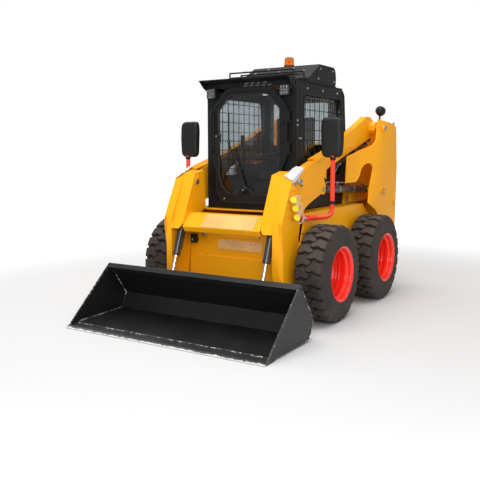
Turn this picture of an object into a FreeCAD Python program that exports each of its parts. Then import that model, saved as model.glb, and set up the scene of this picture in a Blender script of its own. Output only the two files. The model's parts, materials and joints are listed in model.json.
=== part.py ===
import FreeCAD, Part
import math
import os
import re

import Sketcher
from FreeCAD import Placement, Rotation, Vector

# A compact skid steer loader with its bucket on the ground.
# Millimetres. +X is the machine's left, the bucket points to -Y, +Z is up.
# The origin lies on the ground, at the middle of the whole machine.
# Outlines give heights above the ground and distances behind the front axle,
# so a point ahead of that axle has a negative distance.

doc = FreeCAD.newDocument("skid_steer_loader")

SIZES = [
    # wheels, from the 10-16.5 tyre size; a tread radius is to the middle of a flat
    ("tyre_radius", 386.5), ("tyre_half", 132), ("tread_radius", 354), ("bead_radius", 212),
    ("bead_half", 113), ("bulge_radius", 300), ("shoulder", 4), ("lug_sink", 3), ("lug_top", 385.2),
    ("lug_half", 28), ("wheel_base", 1000),
    ("tyre_gap", 20), ("rim_flange_radius", 226), ("rim_seat_radius", 207),
    ("rim_inner_radius", 201), ("rim_lip", 10), ("dish_front", 22), ("dish_back", 10),
    ("hub_radius", 58), ("hub_front", 40), ("hub_back", 70), ("axle_radius", 32),
    ("running_clear", 0.05), ("axle_tube_radius", 58),
    # the whole machine along Y
    ("lip_reach", 1278), ("tail_reach", 840), ("front_axle_y", -281),
    # layers across the machine, counted outwards from the cab's side
    ("cab_half", 430), ("cab_rear", 936), ("cab_sheet", 12), ("tower_gap", 15), ("tower_sheet", 12),
    ("beam_gap", 23),
    ("beam_wide", 64), ("ear_sheet", 12), ("knee_step", 18), ("knee_sheet", 10), ("leg_wide", 80),
    ("skin_step", 20), ("skin_thick", 10), ("plate_thick", 10), ("knee_box_in", 60),
    ("eye_half", 26),
    # pins, as distance behind the front axle and height
    ("arm_pivot_y", 1420), ("arm_pivot_z", 1580), ("lift_base_y", 1345), ("lift_base_z", 988),
    ("lift_eye_y", 267), ("lift_eye_z", 1038), ("tilt_top_y", -250), ("tilt_top_z", 1100),
    ("tilt_eye_y", -540), ("tilt_eye_z", 300), ("bucket_pin_y", -360), ("bucket_pin_z", 170),
    ("pivot_radius", 28), ("pin_radius", 16), ("seat_gap", 0.3),
    # cylinders
    ("lift_barrel_radius", 36), ("lift_rod_radius", 20), ("lift_barrel_long", 960),
    ("tilt_barrel_radius", 30), ("tilt_rod_radius", 16), ("tilt_barrel_long", 641),
    ("eye_radius", 34), ("bore_clear", 1), ("lift_rod_start", 100), ("tilt_rod_start", 190),
    # bucket
    ("bucket_half", 887.5), ("bucket_sheet", 10), ("edge_deep", 132), ("edge_thick", 14),
    # heights
    ("ledge_top", 860), ("cab_floor_z", 862), ("roof_z", 1919), ("roof_thick", 11),
    ("housing_high", 172),
    # door
    ("door_back", -6), ("door_front", -38), ("pane_back", -16), ("pane_front", -22),
    ("door_inset", 50), ("hinge_inset", 46), ("hinge_y", -26), ("hinge_radius", 11), ("hinge_pin", 6),
    ("gate_inset", 15), ("gate_thick", 34), ("gate_step", 13),
]

# Places that follow from the sizes above
DERIVED = {
    "cab_inside": "cab_half - cab_sheet - seat_gap",
    "tower_inner": "cab_half + tower_gap",
    "beam_inner": "tower_inner + beam_gap",
    "beam_outer": "beam_inner + beam_wide",
    "knee_outer": "beam_outer + knee_step + knee_sheet",
    "leg_inner": "knee_outer - leg_wide",
    "knee_inner": "cab_half - knee_box_in",
    "skin_outer": "knee_outer + skin_step",
    "wheel_mid": "skin_outer + tyre_gap + tyre_half",
    "lift_mid": "beam_inner + 37",
    "tilt_mid": "knee_inner + 61",
    "carrier_half": "knee_outer - 40",
    "roof_top": "roof_z + roof_thick",
    "housing_z": "roof_top + housing_high",
    "hinge_x": "cab_half - hinge_inset",
    "gate_x": "cab_half + 8",
    "gate_y": "wheel_base + tail_reach - gate_step",
    "tail_end": "wheel_base + tail_reach",
}

sheet = doc.addObject("Spreadsheet::Sheet", "Sizes")
for row, (alias, size) in enumerate(SIZES, 1):
    sheet.set("A%d" % row, str(size))
    sheet.setAlias("A%d" % row, alias)
doc.recompute()

SIZE = dict(SIZES)
ALIAS = re.compile(r"\b([a-z]+(?:_[a-z]+)+)\b")
NODES = {}


def value(rule):
    """The number that a rule of added and subtracted sizes stands for."""
    if not isinstance(rule, str):
        return float(rule)
    total, sign = 0.0, 1
    for word in rule.split():
        if word in "+-":
            sign = -1 if word == "-" else 1
        else:
            part = value(DERIVED[word]) if word in DERIVED else SIZE.get(word)
            total += sign * (float(word) if part is None else part)
            sign = 1
    return total


def bind(item, place, rule):
    """Tie one property to the sheet's cells."""
    rule = str(rule)
    while any(word in DERIVED for word in ALIAS.findall(rule)):
        rule = ALIAS.sub(lambda m: "(%s)" % DERIVED[m[1]] if m[1] in DERIVED else m[1], rule)
    item.setExpression(place, ALIAS.sub(r"Sizes.\1", rule))


VIEWS = {"side": "YZ_Plane", "front": "XZ_Plane", "plan": "XY_Plane"}


def outline(body, view, points):
    """A closed sketch of straight edges, each corner tied to its own two sizes."""
    plane = [f for f in body.Origin.OriginFeatures if f.Role == VIEWS[view]][0]
    sketch = body.newObject("Sketcher::SketchObject", body.Name + "_outline")
    sketch.AttachmentSupport = (plane, [""])
    sketch.MapMode = "FlatFace"
    corners = [Vector(value(u), value(v), 0) for u, v in points]
    count = len(corners)
    edges = [Part.LineSegment(corners[i], corners[(i + 1) % count]) for i in range(count)]
    sketch.addGeometry(edges, False)
    ties = [Sketcher.Constraint("Coincident", i, 2, (i + 1) % count, 1) for i in range(count)]
    for i, corner in enumerate(corners):
        ties.append(Sketcher.Constraint("DistanceX", i, 1, corner.x))
        ties.append(Sketcher.Constraint("DistanceY", i, 1, corner.y))
    sketch.addConstraint(ties)
    for i, pair in enumerate(points):
        for j, rule in enumerate(pair):
            if isinstance(rule, str):
                bind(sketch, "Constraints[%d]" % (count + 2 * i + j), rule)
    return sketch


def plate(name, view, points, start, end):
    """An outline padded from start to end: across X, from rear to front, or upwards."""
    body = doc.addObject("PartDesign::Body", name)
    sketch = outline(body, view, points)
    if view == "side":
        bind(sketch, "AttachmentOffset.Base.x", "front_axle_y")
        bind(sketch, "AttachmentOffset.Base.z", start)
        long = "(%s) - (%s)" % (end, start)
    elif view == "front":
        bind(sketch, "AttachmentOffset.Base.z", "0 - front_axle_y - (%s)" % start)
        long = "(%s) - (%s)" % (start, end)
    else:
        bind(sketch, "AttachmentOffset.Base.y", "front_axle_y")
        bind(sketch, "AttachmentOffset.Base.z", start)
        long = "(%s) - (%s)" % (end, start)
    pad = body.newObject("PartDesign::Pad", name + "_pad")
    pad.Profile = sketch
    bind(pad, "Length", long)
    sketch.Visibility = False
    return body


def block(name, x, y, z):
    """A box from three pairs of rules, the second measured from the front axle."""
    box = doc.addObject("Part::Box", name)
    for side, letter, (low, high) in (("Length", "x", x), ("Width", "y", y), ("Height", "z", z)):
        shift = "front_axle_y + " if letter == "y" else ""
        bind(box, "Placement.Base." + letter, "%s(%s)" % (shift, low))
        bind(box, side, "(%s) - (%s)" % (high, low))
    return box


def bar(name, radius, start, end):
    """A round bar from one point to another, each (x, distance behind the axle, height)."""
    a, b = Vector(*map(value, start)), Vector(*map(value, end))
    round_bar = doc.addObject("Part::Cylinder", name)
    round_bar.Placement = Placement(Vector(), Rotation(Vector(0, 0, 1), b - a))
    bind(round_bar, "Radius", radius)
    bind(round_bar, "Placement.Base.x", start[0])
    bind(round_bar, "Placement.Base.y", "front_axle_y + (%s)" % start[1])
    bind(round_bar, "Placement.Base.z", start[2])
    spans = ["(%s - (%s))^2" % (p, q) for p, q in (("(%s)" % e, s) for s, e in zip(start, end))]
    bind(round_bar, "Height", "sqrt(%s)" % " + ".join(spans))
    return round_bar


def pin(name, radius, x, y, z):
    """A round bar across the machine."""
    return bar(name, radius, (x[0], y, z), (x[1], y, z))


def shaped(name, solid, *place):
    """A piece drawn with Part's own functions, put in place by rules for x, y and z."""
    piece = doc.addObject("Part::Feature", name)
    piece.Shape = solid
    for letter, rule in zip("xyz", place):
        bind(piece, "Placement.Base." + letter, rule)
    return piece


def wedge(name, corners, faces):
    """A solid of flat faces; corners are (x, distance behind the axle, height)."""
    spots = [Vector(value(x), value("front_axle_y") + value(y), value(z)) for x, y, z in corners]
    sides = [Part.Face(Part.makePolygon([spots[i] for i in face + face[:1]])) for face in faces]
    solid = Part.Solid(Part.Shell(sides))
    if solid.Volume < 0:
        solid.reverse()
    return shaped(name, solid)


def tube_of(name, radius, points, flats=8):
    """A round bar of flats, mitred at each bend of a line of points."""
    radius = value(radius)
    spots = [Vector(value(x), value("front_axle_y") + value(y), value(z)) for x, y, z in points]
    legs = [(b - a).normalize() for a, b in zip(spots, spots[1:])]
    side = legs[0].cross(Vector(0, 0, 1) if abs(legs[0].z) < 0.9 else Vector(1, 0, 0)).normalize()
    over = legs[0].cross(side)
    angles = [2 * math.pi * (k + 0.5) / flats for k in range(flats)]
    first = [spots[0] + side * (radius * math.cos(a)) + over * (radius * math.sin(a)) for a in angles]
    rows = [first]
    for i, leg in enumerate(legs):
        last = i == len(legs) - 1
        face = leg if last else leg + legs[i + 1]
        rows.append([p + leg * ((spots[i + 1] - p).dot(face) / leg.dot(face)) for p in rows[-1]])
    sides = [Part.Face(Part.makePolygon(row + row[:1])) for row in (rows[0], rows[-1])]
    for here, there in zip(rows, rows[1:]):
        for k in range(flats):
            n = (k + 1) % flats
            sides.append(Part.Face(Part.makePolygon([here[k], here[n], there[n], there[k], here[k]])))
    solid = Part.Solid(Part.Shell(sides))
    if solid.Volume < 0:
        solid.reverse()
    return shaped(name, solid)


def bolt(name, radius, x, y, z):
    """A pin of twelve flats across the machine, standing inside a round bore."""
    return tube_of(name, radius, [(x[0], y, z), (x[1], y, z)], 12)


def join(name, *pieces):
    fused = doc.addObject("Part::MultiFuse", name)
    fused.Shapes = list(pieces)
    fused.Refine = True
    return fused


def carve(name, base, *tools):
    cut = doc.addObject("Part::Cut", name)
    cut.Base = base
    cut.Tool = tools[0] if len(tools) == 1 else join(name + "_tools", *tools)
    cut.Refine = True
    return cut


def group(name, *pieces):
    """Separate solids that ride together in one file."""
    whole = doc.addObject("Part::Compound", name)
    whole.Links = list(pieces)
    return whole


def mirror(name, source):
    other = doc.addObject("Part::Mirroring", name)
    other.Source = source
    other.Normal = (1, 0, 0)
    other.Base = (0, 0, 0)
    return other


def node(name, item):
    """Name the object that a file is written from."""
    item.Label = name
    NODES[name] = item
    return item


def pair(name, item):
    """A left piece and its mirror image on the right."""
    node(name + "_left", item)
    node(name + "_right", mirror("mirrored_" + name, item))
    return item


# Wheels
# Tyre and rim are rings of flats; each lug of the tyre stands on a flat of its own.
TYRE_FLATS = 36
RIM_FLATS = 16


def ring(section, flats):
    """A ring around X from a closed section of (x, radius to the middle of a flat)."""
    step = 2 * math.pi / flats
    rows = []
    for x, radius in section:
        far = value(radius) / math.cos(step / 2)
        angles = [(k + 0.5) * step for k in range(flats)]
        rows.append([Vector(value(x), far * math.sin(a), far * math.cos(a)) for a in angles])
    sides = []
    for here, there in zip(rows, rows[1:] + rows[:1]):
        for k in range(flats):
            n = (k + 1) % flats
            sides.append(Part.Face(Part.makePolygon([here[k], here[n], there[n], there[k], here[k]])))
    solid = Part.Solid(Part.Shell(sides))
    if solid.Volume < 0:
        solid.reverse()
    return solid


TYRE_SECTION = [
    ("0 - bead_half", "bead_radius"), ("shoulder - tyre_half", "tread_radius"),
    ("tyre_half - shoulder", "tread_radius"), ("tyre_half", "bulge_radius"),
    ("bead_half", "bead_radius"),
]
# One lug is a bent bar: slanted near the middle of the tread, square at the shoulder.
# The left ring stands on even flats and the right ring on odd ones.
LUG = [
    (6, "0 - lug_half"), ("tyre_half - shoulder", "14 - lug_half"),
    ("tyre_half - shoulder", "lug_half"), (6, "lug_half - 22"),
]
foot = [Vector(value(u), value(v), value("tread_radius - lug_sink")) for u, v in LUG]
bar_up = Vector(0, 0, value("lug_top - tread_radius + lug_sink"))
left_lug = Part.Face(Part.makePolygon(foot + foot[:1])).extrude(bar_up)
right_lug = left_lug.mirror(Vector(), Vector(1, 0, 0))
lugs = []
for k in range(TYRE_FLATS):
    turned = (left_lug if k % 2 == 0 else right_lug).copy()
    turned.rotate(Vector(), Vector(1, 0, 0), k * 360 / TYRE_FLATS)
    lugs.append(turned)
tyre_solid = ring(TYRE_SECTION, TYRE_FLATS).multiFuse(lugs).removeSplitter()

RIM_SECTION = [
    ("tyre_half", "rim_flange_radius"), ("tyre_half - 16", "rim_seat_radius"),
    ("16 - tyre_half", "rim_seat_radius"), ("0 - tyre_half", "rim_flange_radius"),
    ("7 - tyre_half", "rim_inner_radius"), ("0 - dish_front", "rim_inner_radius"),
    ("0 - hub_back", "axle_radius + running_clear"),
    ("hub_front", "axle_radius + running_clear"), ("hub_front", "hub_radius"),
    ("0 - dish_back", "hub_radius"), ("0 - dish_back", "rim_inner_radius"),
    ("tyre_half - 7", "rim_inner_radius"),
]
rim_solid = ring(RIM_SECTION, RIM_FLATS)

stubs = []
for end, behind in (("front", "0"), ("rear", "wheel_base")):
    for kind, solid in (("tyre", tyre_solid), ("rim", rim_solid)):
        pair("%s_%s" % (kind, end), shaped("%s_%s_piece" % (kind, end), solid, "wheel_mid",
                                           "front_axle_y + " + behind, "tyre_radius"))
    tube = tube_of("tube_" + end, "axle_tube_radius", [("skin_outer + seat_gap", behind, "tyre_radius"),
                                                    ("wheel_mid - hub_back - 1", behind,
                                                     "tyre_radius")])
    stub = pin("stub_" + end, "axle_radius", ("skin_outer + 1", "wheel_mid + hub_front - 4"),
               behind, "tyre_radius")
    stubs.append(join("axle_stub_" + end, tube, stub))
stubs += [mirror(stub.Name + "_right", stub) for stub in list(stubs)]
node("axle_stubs", group("axle_stub_group", *stubs))

# Chassis
# Two skins, a floor, a front plate and a rear cross plate make an open tub.
SKIN = [
    (-180, 260), (-180, 640), (-105, "ledge_top"), (1110, "ledge_top"), (1280, 735),
    ("tail_end - 420", 735),
    ("tail_end - 340", 800), ("tail_end - 50", 800), ("tail_end - 50", 330), ("tail_end - 140", 240),
    (-100, 240),
]
skin_left = plate("skin_left", "side", SKIN, "skin_outer - skin_thick", "skin_outer")
skin_right = mirror("skin_right", skin_left)
TUB = [
    # name, x range, y range, z range
    ("tub_floor", ("1 - skin_outer", "skin_outer - 1"), (-100, "tail_end - 140"), (240, 250)),
    ("tub_front", ("1 - skin_outer", "skin_outer - 1"), (-180, -170), (260, 640)),
    ("tub_rear", ("1 - skin_outer", "skin_outer - 1"), ("tail_end - 150", "tail_end - 140"),
     (250, 800)),
    ("ledge_left", ("tower_inner", "skin_outer - 1"), (-105, 1110), ("ledge_top - 10", "ledge_top")),
    ("ledge_right", ("1 - skin_outer", "0 - tower_inner"), (-105, 1110),
     ("ledge_top - 10", "ledge_top")),
    ("cross_sill", ("0 - tower_inner - 1", "tower_inner + 1"), (-60, 1290),
     ("cab_floor_z - 12", "cab_floor_z - seat_gap")),
    ("arm_stop_left", ("skin_outer - 1", "skin_outer + 13"), (-176, -70), (560, 645)),
    ("arm_stop_right", ("0 - skin_outer - 13", "1 - skin_outer"), (-176, -70), (560, 645)),
]
node("chassis_tub", join("chassis", skin_left, skin_right, *[block(*row) for row in TUB]))
COVER = [
    # the front sheet stands on a lower step and carries two patch panels
    ("cover_sheet", ("0 - leg_inner", "leg_inner"), (-190.3, -180.3), (300, 760)),
    ("cover_step", ("0 - leg_inner", "leg_inner"), (-204, -190), (300, 470)),
    ("cover_patch", (-150, 470), (-194, -190), (560, 650)),
]
node("front_cover", join("front_cover_whole", *[block(*row) for row in COVER]))
node("engine_block", block("engine", (-300, 300), ("tail_end - 760", "tail_end - 200"), (250.3, 840)))

# Towers
# The outer plate runs level along the cab, flares out past a leaning fold and turns back at a crease.
TOWER = [
    (705, 1305), (1112, 1385), (1166, 1399), (1215, 1412), (1255, 1435), (1285, 1468), (1335, 1660),
    (1480, 1642), ("tail_end - 95", 1607), ("tail_end - 72", 1560), ("tail_end - 6", 1180),
    ("tail_end", 1100),
    ("tail_end", 380), (1560, 380), (1530, 600), (1400, 690), (1280, 735), (1110, 850), (1077, 870),
    (1110, 1000), (1196, 1191), (1180, 1225), (1140, 1243), (1095, 1241), (1040, 1222), (1000, 1190),
    (960, 1120), (900, 1073), (680, 1073),
]
TOWER_FOLD = [(200, "knee_outer + 34"), (590, "knee_outer + 34"), (981, "knee_outer + 120"),
              (1900, "knee_outer + 79")]
FOLD_BASE, FOLD_LEAN = 300, 0.40


def folded(name, line, thick, side_points):
    """A plate folded along leaning lines, trimmed to its side outline."""
    body = doc.addObject("PartDesign::Body", name + "_fold")
    inner = [("%s - %s" % (half, thick), behind) for behind, half in reversed(line)]
    sketch = outline(body, "plan", [(half, behind) for behind, half in line] + inner)
    bind(sketch, "AttachmentOffset.Base.y", "front_axle_y")
    bind(sketch, "AttachmentOffset.Base.z", FOLD_BASE)
    rise = body.newObject("PartDesign::Pad", name + "_rise")
    rise.Profile = sketch
    rise.UseCustomVector = True
    rise.Direction = Vector(0, FOLD_LEAN, 1)
    rise.Length = 1560
    trim = plate(name + "_trim", "side", side_points, "knee_outer - 10", "knee_outer + 200")
    common = doc.addObject("Part::MultiCommon", name)
    common.Shapes = [body, trim]
    return common


outer = folded("tower_outer", TOWER_FOLD, "tower_sheet", TOWER)
INNER = [
    (1060, 870), (1140, 1300), (1250, 1500), (1330, 1660), (1600, 1630), ("tail_end - 95", 1600),
    ("tail_end - 40", 1180), ("tail_end - 40", 870),
]
inner = plate("tower_inner_plate", "side", INNER, "tower_inner", "tower_inner + tower_sheet")
BACK = [("tail_end - 105", 1595), ("tail_end - 95", 1600), ("tail_end - 40", 1180),
        ("tail_end - 40", 820), ("tail_end - 52", 820), ("tail_end - 52", 1180)]
back = plate("tower_back", "side", BACK, "tower_inner + 1", "knee_outer + 84")
pivot = bolt("arm_pivot", "pivot_radius", ("tower_inner + 2", "knee_outer + 110"), "arm_pivot_y",
             "arm_pivot_z")
base_pin = bolt("lift_base_pin", "pin_radius", ("tower_inner + 2", "knee_outer + 124"), "lift_base_y",
                "lift_base_z")
base_boss = tube_of("lift_base_boss", 34, [("knee_outer + 100", "lift_base_y", "lift_base_z"),
                                            ("knee_outer + 132", "lift_base_y", "lift_base_z")])
tower = join("tower_whole", outer, inner, back, pivot, base_pin, base_boss)

# Vertical hinges: barrels bored for pins that lugs of the fixed side hold.


def hinge(name, x, y, levels, strap, lug):
    """Moving and fixed pieces; strap and lug are x and y ranges that reach back to each side."""
    moving, fixed, bores = [], [], []
    for i, level in enumerate(levels):
        tag = "%s_%d" % (name, i)
        moving.append(tube_of(tag + "_barrel", "hinge_radius",
                              [(x, y, level - 40), (x, y, level + 40)]))
        moving.append(block(tag + "_strap", *strap, (level - 40, level + 40)))
        bores.append(bar(tag + "_bore", "hinge_pin + running_clear", (x, y, level - 45),
                         (x, y, level + 45)))
        fixed.append(tube_of(tag + "_pin", "hinge_pin", [(x, y, level - 50), (x, y, level + 50)]))
        for side, near in (("low", level - 52), ("high", level + 41)):
            fixed.append(block(tag + "_lug_" + side, *lug, (near, near + 11)))
    return moving, fixed, bores


gate_moving, gate_fixed, gate_bores = hinge(
    "gate_hinge", "gate_x", "gate_y", (520, 1040),
    (("cab_half - gate_inset - 5", "gate_x"), ("gate_y - 3", "tail_end - 4")),
    (("gate_x - hinge_radius", "tower_inner + 20"), ("tail_end - 40", "gate_y + hinge_radius")))
post = block("gate_post", ("tower_inner + 2", "tower_inner + 20"), ("tail_end - 40", "tail_end - 26"),
             (430, 1120))
foot_plate = block("gate_post_foot", ("tower_inner + 2", "skin_outer + 20"),
                   ("tail_end - 49.7", "tail_end - 39"), (430, 830))
node("tower_left", join("tower_left_whole", tower, post, foot_plate, *gate_fixed))
node("tower_right", mirror("tower_right_whole", join("tower_plain", tower, foot_plate)))

# Lift arms
# Each is a welded beam, knee and leg, open between its plates where the lift rod's eye sits.
BEAM = [
    (150, 1290), (388, 1350), (760, 1475), (1218, 1650), (1303, 1686), (1400, 1686), (1470, 1650),
    (1490, 1590),
    (1470, 1515), (1380, 1478), (645, 1271), (460, 1222), (375, 1190), (335, 1150),
]
KNEE = [
    (-298, 1124), (-68, 1225), (106, 1270), (276, 1143), (318, 1070), (318, 1020), (292, 992),
    (229, 1000), (5, 933), (-63, 903), (-142, 836), (-178, 669), (-195, 560), (-430, 560), (-462, 800),
]
EAR = [
    (-120, 1180), (60, 1240), (300, 1310), (420, 1340), (420, 1215), (335, 1150), (318, 1070),
    (318, 1020),
    (292, 992), (229, 1000), (5, 933), (-120, 880),
]
LEG = [
    (-430, 340), (-462, 420), (-462, 800), (-298, 1124), (-200, 1124), (-120, 1000), (-142, 836),
    (-178, 669),
    (-223, 340), (-300, 150), (-340, 120), (-385, 122), (-420, 170),
]
BOX_SIDE = [(-456, 765), (-272, 1171), (-150, 1195), (-118, 892), (-150, 859), (-400, 750)]
BOX_SLAB = [(-474, 722), (-272, 1171), (-262, 1168), (-462, 722)]
BOX_FRONT = [
    ("knee_inner", 1150), ("knee_inner", 765), ("knee_inner + 30", 722), ("leg_inner + 1", 722),
    ("leg_inner + 1", 1176), ("knee_inner + 15", 1176),
]
BOX_TOP = [(-272, 1171), (-150, 1196), (-150, 1186), (-270, 1161)]
beam = plate("beam", "side", BEAM, "beam_inner", "beam_outer")
knee = plate("knee", "side", KNEE, "knee_outer - knee_sheet", "knee_outer")
ear = plate("ear", "side", EAR, "beam_inner - ear_sheet", "beam_inner")
leg_block = plate("leg_block", "side", LEG, "leg_inner", "knee_outer")
bevel = plate("leg_bevel", "plan", [("knee_outer - 30", -465), ("knee_outer + 2", -465),
                                    ("knee_outer + 2", -430)], 300, 830)
box_side = plate("box_side", "side", BOX_SIDE, "knee_inner", "knee_inner + plate_thick")
slab = plate("box_slab", "side", BOX_SLAB, "knee_inner", "leg_inner + 1")
box_front = doc.addObject("Part::MultiCommon", "box_front")
box_front.Shapes = [slab, plate("box_front_trim", "front", BOX_FRONT, -200, -500)]
box_top = plate("box_top", "side", BOX_TOP, "knee_inner + 1", "leg_inner + 1")
# The top flange slopes from the knee plate's crease up to the inner line.
FLANGE_OUT = [("knee_outer", -298, 1124), ("knee_outer", -68, 1225), ("knee_outer", 256, 1309)]
FLANGE_IN = [("leg_inner", -272, 1171), ("leg_inner", 60, 1246), ("leg_inner", 388, 1350)]
flange = []
for i in range(2):
    o, p, a, b = FLANGE_OUT[i], FLANGE_OUT[i + 1], FLANGE_IN[i], FLANGE_IN[i + 1]
    under = [(x, y + 2, z - 10) for x, y, z in (o, p, a, b)]
    flange.append(wedge("flange_%d" % i, [o, p, a, b] + under, [
        [0, 1, 2], [1, 3, 2], [4, 6, 5], [5, 6, 7], [0, 4, 5], [0, 5, 1], [2, 3, 7], [2, 7, 6],
        [0, 2, 6, 4], [1, 5, 7, 3]]))
# A small web closes the front end of the flange.
WEB = [("knee_outer", -298, 1124), ("leg_inner", -272, 1171), ("leg_inner", -298, 1124)]
web = wedge("flange_web", WEB + [(x, y + 8, z) for x, y, z in WEB],
            [[0, 1, 2], [3, 5, 4], [0, 3, 4, 1], [1, 4, 5, 2], [2, 5, 3, 0]])
# Behind the knee the outer plate steps inwards over a slanted fold.
fold = wedge("knee_fold", [
    ("knee_outer", 104, 1268), ("knee_outer", 276, 1143), ("beam_outer - 1", 395, 1330),
    ("beam_outer - 1", 395, 1115),
    ("beam_outer - 1", 104, 1268), ("beam_outer - 1", 276, 1143)], [
    [0, 1, 2], [1, 3, 2], [0, 2, 4], [1, 5, 3], [0, 4, 5, 1], [2, 3, 5, 4]])
tilt_pin = bolt("tilt_pin", "pin_radius", ("knee_inner - 6", "leg_inner + 1"), "tilt_top_y",
                "tilt_top_z")
pivot_boss = tube_of("pivot_boss", 62, [("tower_inner + tower_sheet + 4", "arm_pivot_y", "arm_pivot_z"),
                                        ("knee_outer + 30", "arm_pivot_y", "arm_pivot_z")])
leg = carve("leg", leg_block, bevel)
arm = join("arm_whole", beam, knee, ear, leg, box_side, box_front, box_top, tilt_pin,
           pivot_boss, fold, web, *flange)
pivot_bore = pin("pivot_bore", "pivot_radius + running_clear", ("tower_inner - 5", "knee_outer + 60"),
                 "arm_pivot_y", "arm_pivot_z")
hinge_bore = pin("hinge_bore", "pin_radius + running_clear", ("leg_inner - 5", "knee_outer + 5"),
                 "bucket_pin_y", "bucket_pin_z")
pair("lift_arm", carve("arm_bored", arm, pivot_bore, hinge_bore))
CROSS = [
    (-463, 741), (-365, 846), (-300, 850), (-300, 840), (-361, 836), (-452, 738), (-420, 700),
    (-432, 696),
]
node("arm_cross_member", plate("cross_member", "side", CROSS, "seat_gap - knee_inner",
                               "knee_inner - seat_gap"))
# Quick couplers of the auxiliary circuit stand out of the left knee.
COUPLERS = [(-326, 981), (-294, 915), (-268, 844)]
couplers = [block("coupler_plate", ("knee_outer + seat_gap", "knee_outer + 8"), (-318, -218),
                  (830, 1050))]
for i, (behind, up) in enumerate(COUPLERS):
    couplers.append(tube_of("coupler_%d" % i, 22, [
        ("knee_outer + 14", behind + 28, up), ("knee_outer + 50", behind + 4, up)]))
node("aux_couplers", join("aux_coupler_block", *couplers))


# Cylinders
def along(start, end, far):
    """The point a distance along the line between two pins, as (distance, height)."""
    run, rise = value(end[0]) - value(start[0]), value(end[1]) - value(start[1])
    long = math.hypot(run, rise)
    return value(start[0]) + far * run / long, value(start[1]) + far * rise / long


CYLINDERS = [
    # name, base pin, rod eye, middle of the cylinder
    ("lift", ("lift_base_y", "lift_base_z"), ("lift_eye_y", "lift_eye_z"), "lift_mid"),
    ("tilt", ("tilt_top_y", "tilt_top_z"), ("tilt_eye_y", "tilt_eye_z"), "tilt_mid"),
]
for kind, base, eye, middle in CYLINDERS:
    long = SIZE[kind + "_barrel_long"]
    across = (middle + " - eye_half", middle + " + eye_half")
    barrel = tube_of(kind + "_tube", kind + "_barrel_radius", [(middle,) + along(base, eye, 20),
                                                               (middle,) + along(base, eye, long)], 12)
    base_eye = tube_of(kind + "_base_eye", "eye_radius", [(x,) + base for x in across])
    base_bore = pin(kind + "_base_bore", "pin_radius + running_clear",
                    (middle + " - 60", middle + " + 60"), *base)
    rod_bore = tube_of(kind + "_rod_bore", kind + "_rod_radius + bore_clear",
                       [(middle,) + along(base, eye, 90), (middle,) + along(base, eye, long + 5)], 12)
    pair(kind + "_barrel", carve(kind + "_barrel_whole", join(kind + "_barrel_solid", barrel, base_eye),
                                 base_bore, rod_bore))
    rod = bar(kind + "_rod_bar", kind + "_rod_radius",
              (middle,) + along(base, eye, SIZE[kind + "_rod_start"]),
              (middle,) + tuple(map(value, eye)))
    rod_eye = tube_of(kind + "_rod_eye", "eye_radius", [(x,) + eye for x in across])
    pair(kind + "_rod", join(kind + "_rod_whole", rod, rod_eye))

# Bucket
# The back leans forwards over a narrow slant; the sides run straight from tip to top.
BUCKET_SIDE = [("30 - lip_reach", "edge_thick"), (-632, 24), (-576, 157), (-785, 440), (-818, 411)]
BUCKET_WALL = [
    ("120 - lip_reach", "edge_thick"), (-640, 24), (-632, 24), (-576, 157), (-785, 440), (-793, 434),
    (-588, 159), (-640, 36), ("120 - lip_reach", "edge_thick + 10"),
]
EDGE = [
    ("0 - lip_reach", 0), ("edge_deep - lip_reach", 0), ("edge_deep - lip_reach", "edge_thick"),
    ("14 - lip_reach", "edge_thick"),
]
TOP_BOX = [(-785, 440), (-818, 411), (-790, 374), (-765, 412)]
wall = plate("bucket_wall", "side", BUCKET_WALL, "2 - bucket_half", "bucket_half - 2")
top_box = plate("bucket_top", "side", TOP_BOX, "2 - bucket_half", "bucket_half - 2")
side_left = plate("bucket_side_left", "side", BUCKET_SIDE, "bucket_half - bucket_sheet", "bucket_half")
side_right = mirror("bucket_side_right", side_left)
node("bucket_shell", join("bucket_whole", wall, top_box, side_left, side_right))
node("cutting_edge", plate("edge_strip", "side", EDGE, "0 - bucket_half", "bucket_half"))

# The carrier plate lies against the bucket's back; its ears take the arms' pins and the tilt rods.
CARRIER = [(-587.6, 173.3), (-771.8, 422.5), (-760.5, 430.8), (-576.3, 181.6)]
CARRIER_EAR = [
    (-578, 182), (-742, 404), (-640, 392), (-500, 330), (-320, 200), (-322, 142), (-358, 126),
    (-420, 132),
]
carrier_plate = plate("carrier_plate", "side", CARRIER, "0 - carrier_half", "carrier_half")
ear_inner = plate("carrier_ear_inner", "side", CARRIER_EAR, "tilt_mid - eye_half - 12",
                  "tilt_mid - eye_half - 2")
ear_outer = plate("carrier_ear_outer", "side", CARRIER_EAR, "tilt_mid + eye_half + 2",
                  "tilt_mid + eye_half + 12")
carrier_pin = bolt("carrier_pin", "pin_radius", ("tilt_mid - eye_half - 11", "knee_outer - 8"),
                   "bucket_pin_y", "bucket_pin_z")
side_parts = join("carrier_side", ear_inner, ear_outer, carrier_pin)
node("bucket_carrier", join("carrier_whole", carrier_plate, side_parts,
                            mirror("carrier_side_right", side_parts)))

# Cab
CAB_SIDE = [
    (0, "cab_floor_z"), (0, 1860), (20, "roof_z"), (925, "roof_z"), (965, "roof_z - 12"), (1000, 1868),
    (1036, 1514),
    (1036, 1100), (960, "cab_floor_z"),
]
CAB_WINDOW = [
    (165, 1140), (165, 1790), (175, 1812), (195, 1822), (880, 1822), (905, 1812), (918, 1790),
    (945, 1480),
    (945, 1200), (900, 1140),
]
cab_side = plate("cab_side_sheet", "side", CAB_SIDE, "cab_half - cab_sheet", "cab_half")
cab_window = plate("cab_window_cut", "side", CAB_WINDOW, "cab_half - 40", "cab_half + 40")
pair("cab_side", carve("cab_side_whole", cab_side, cab_window))
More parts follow.
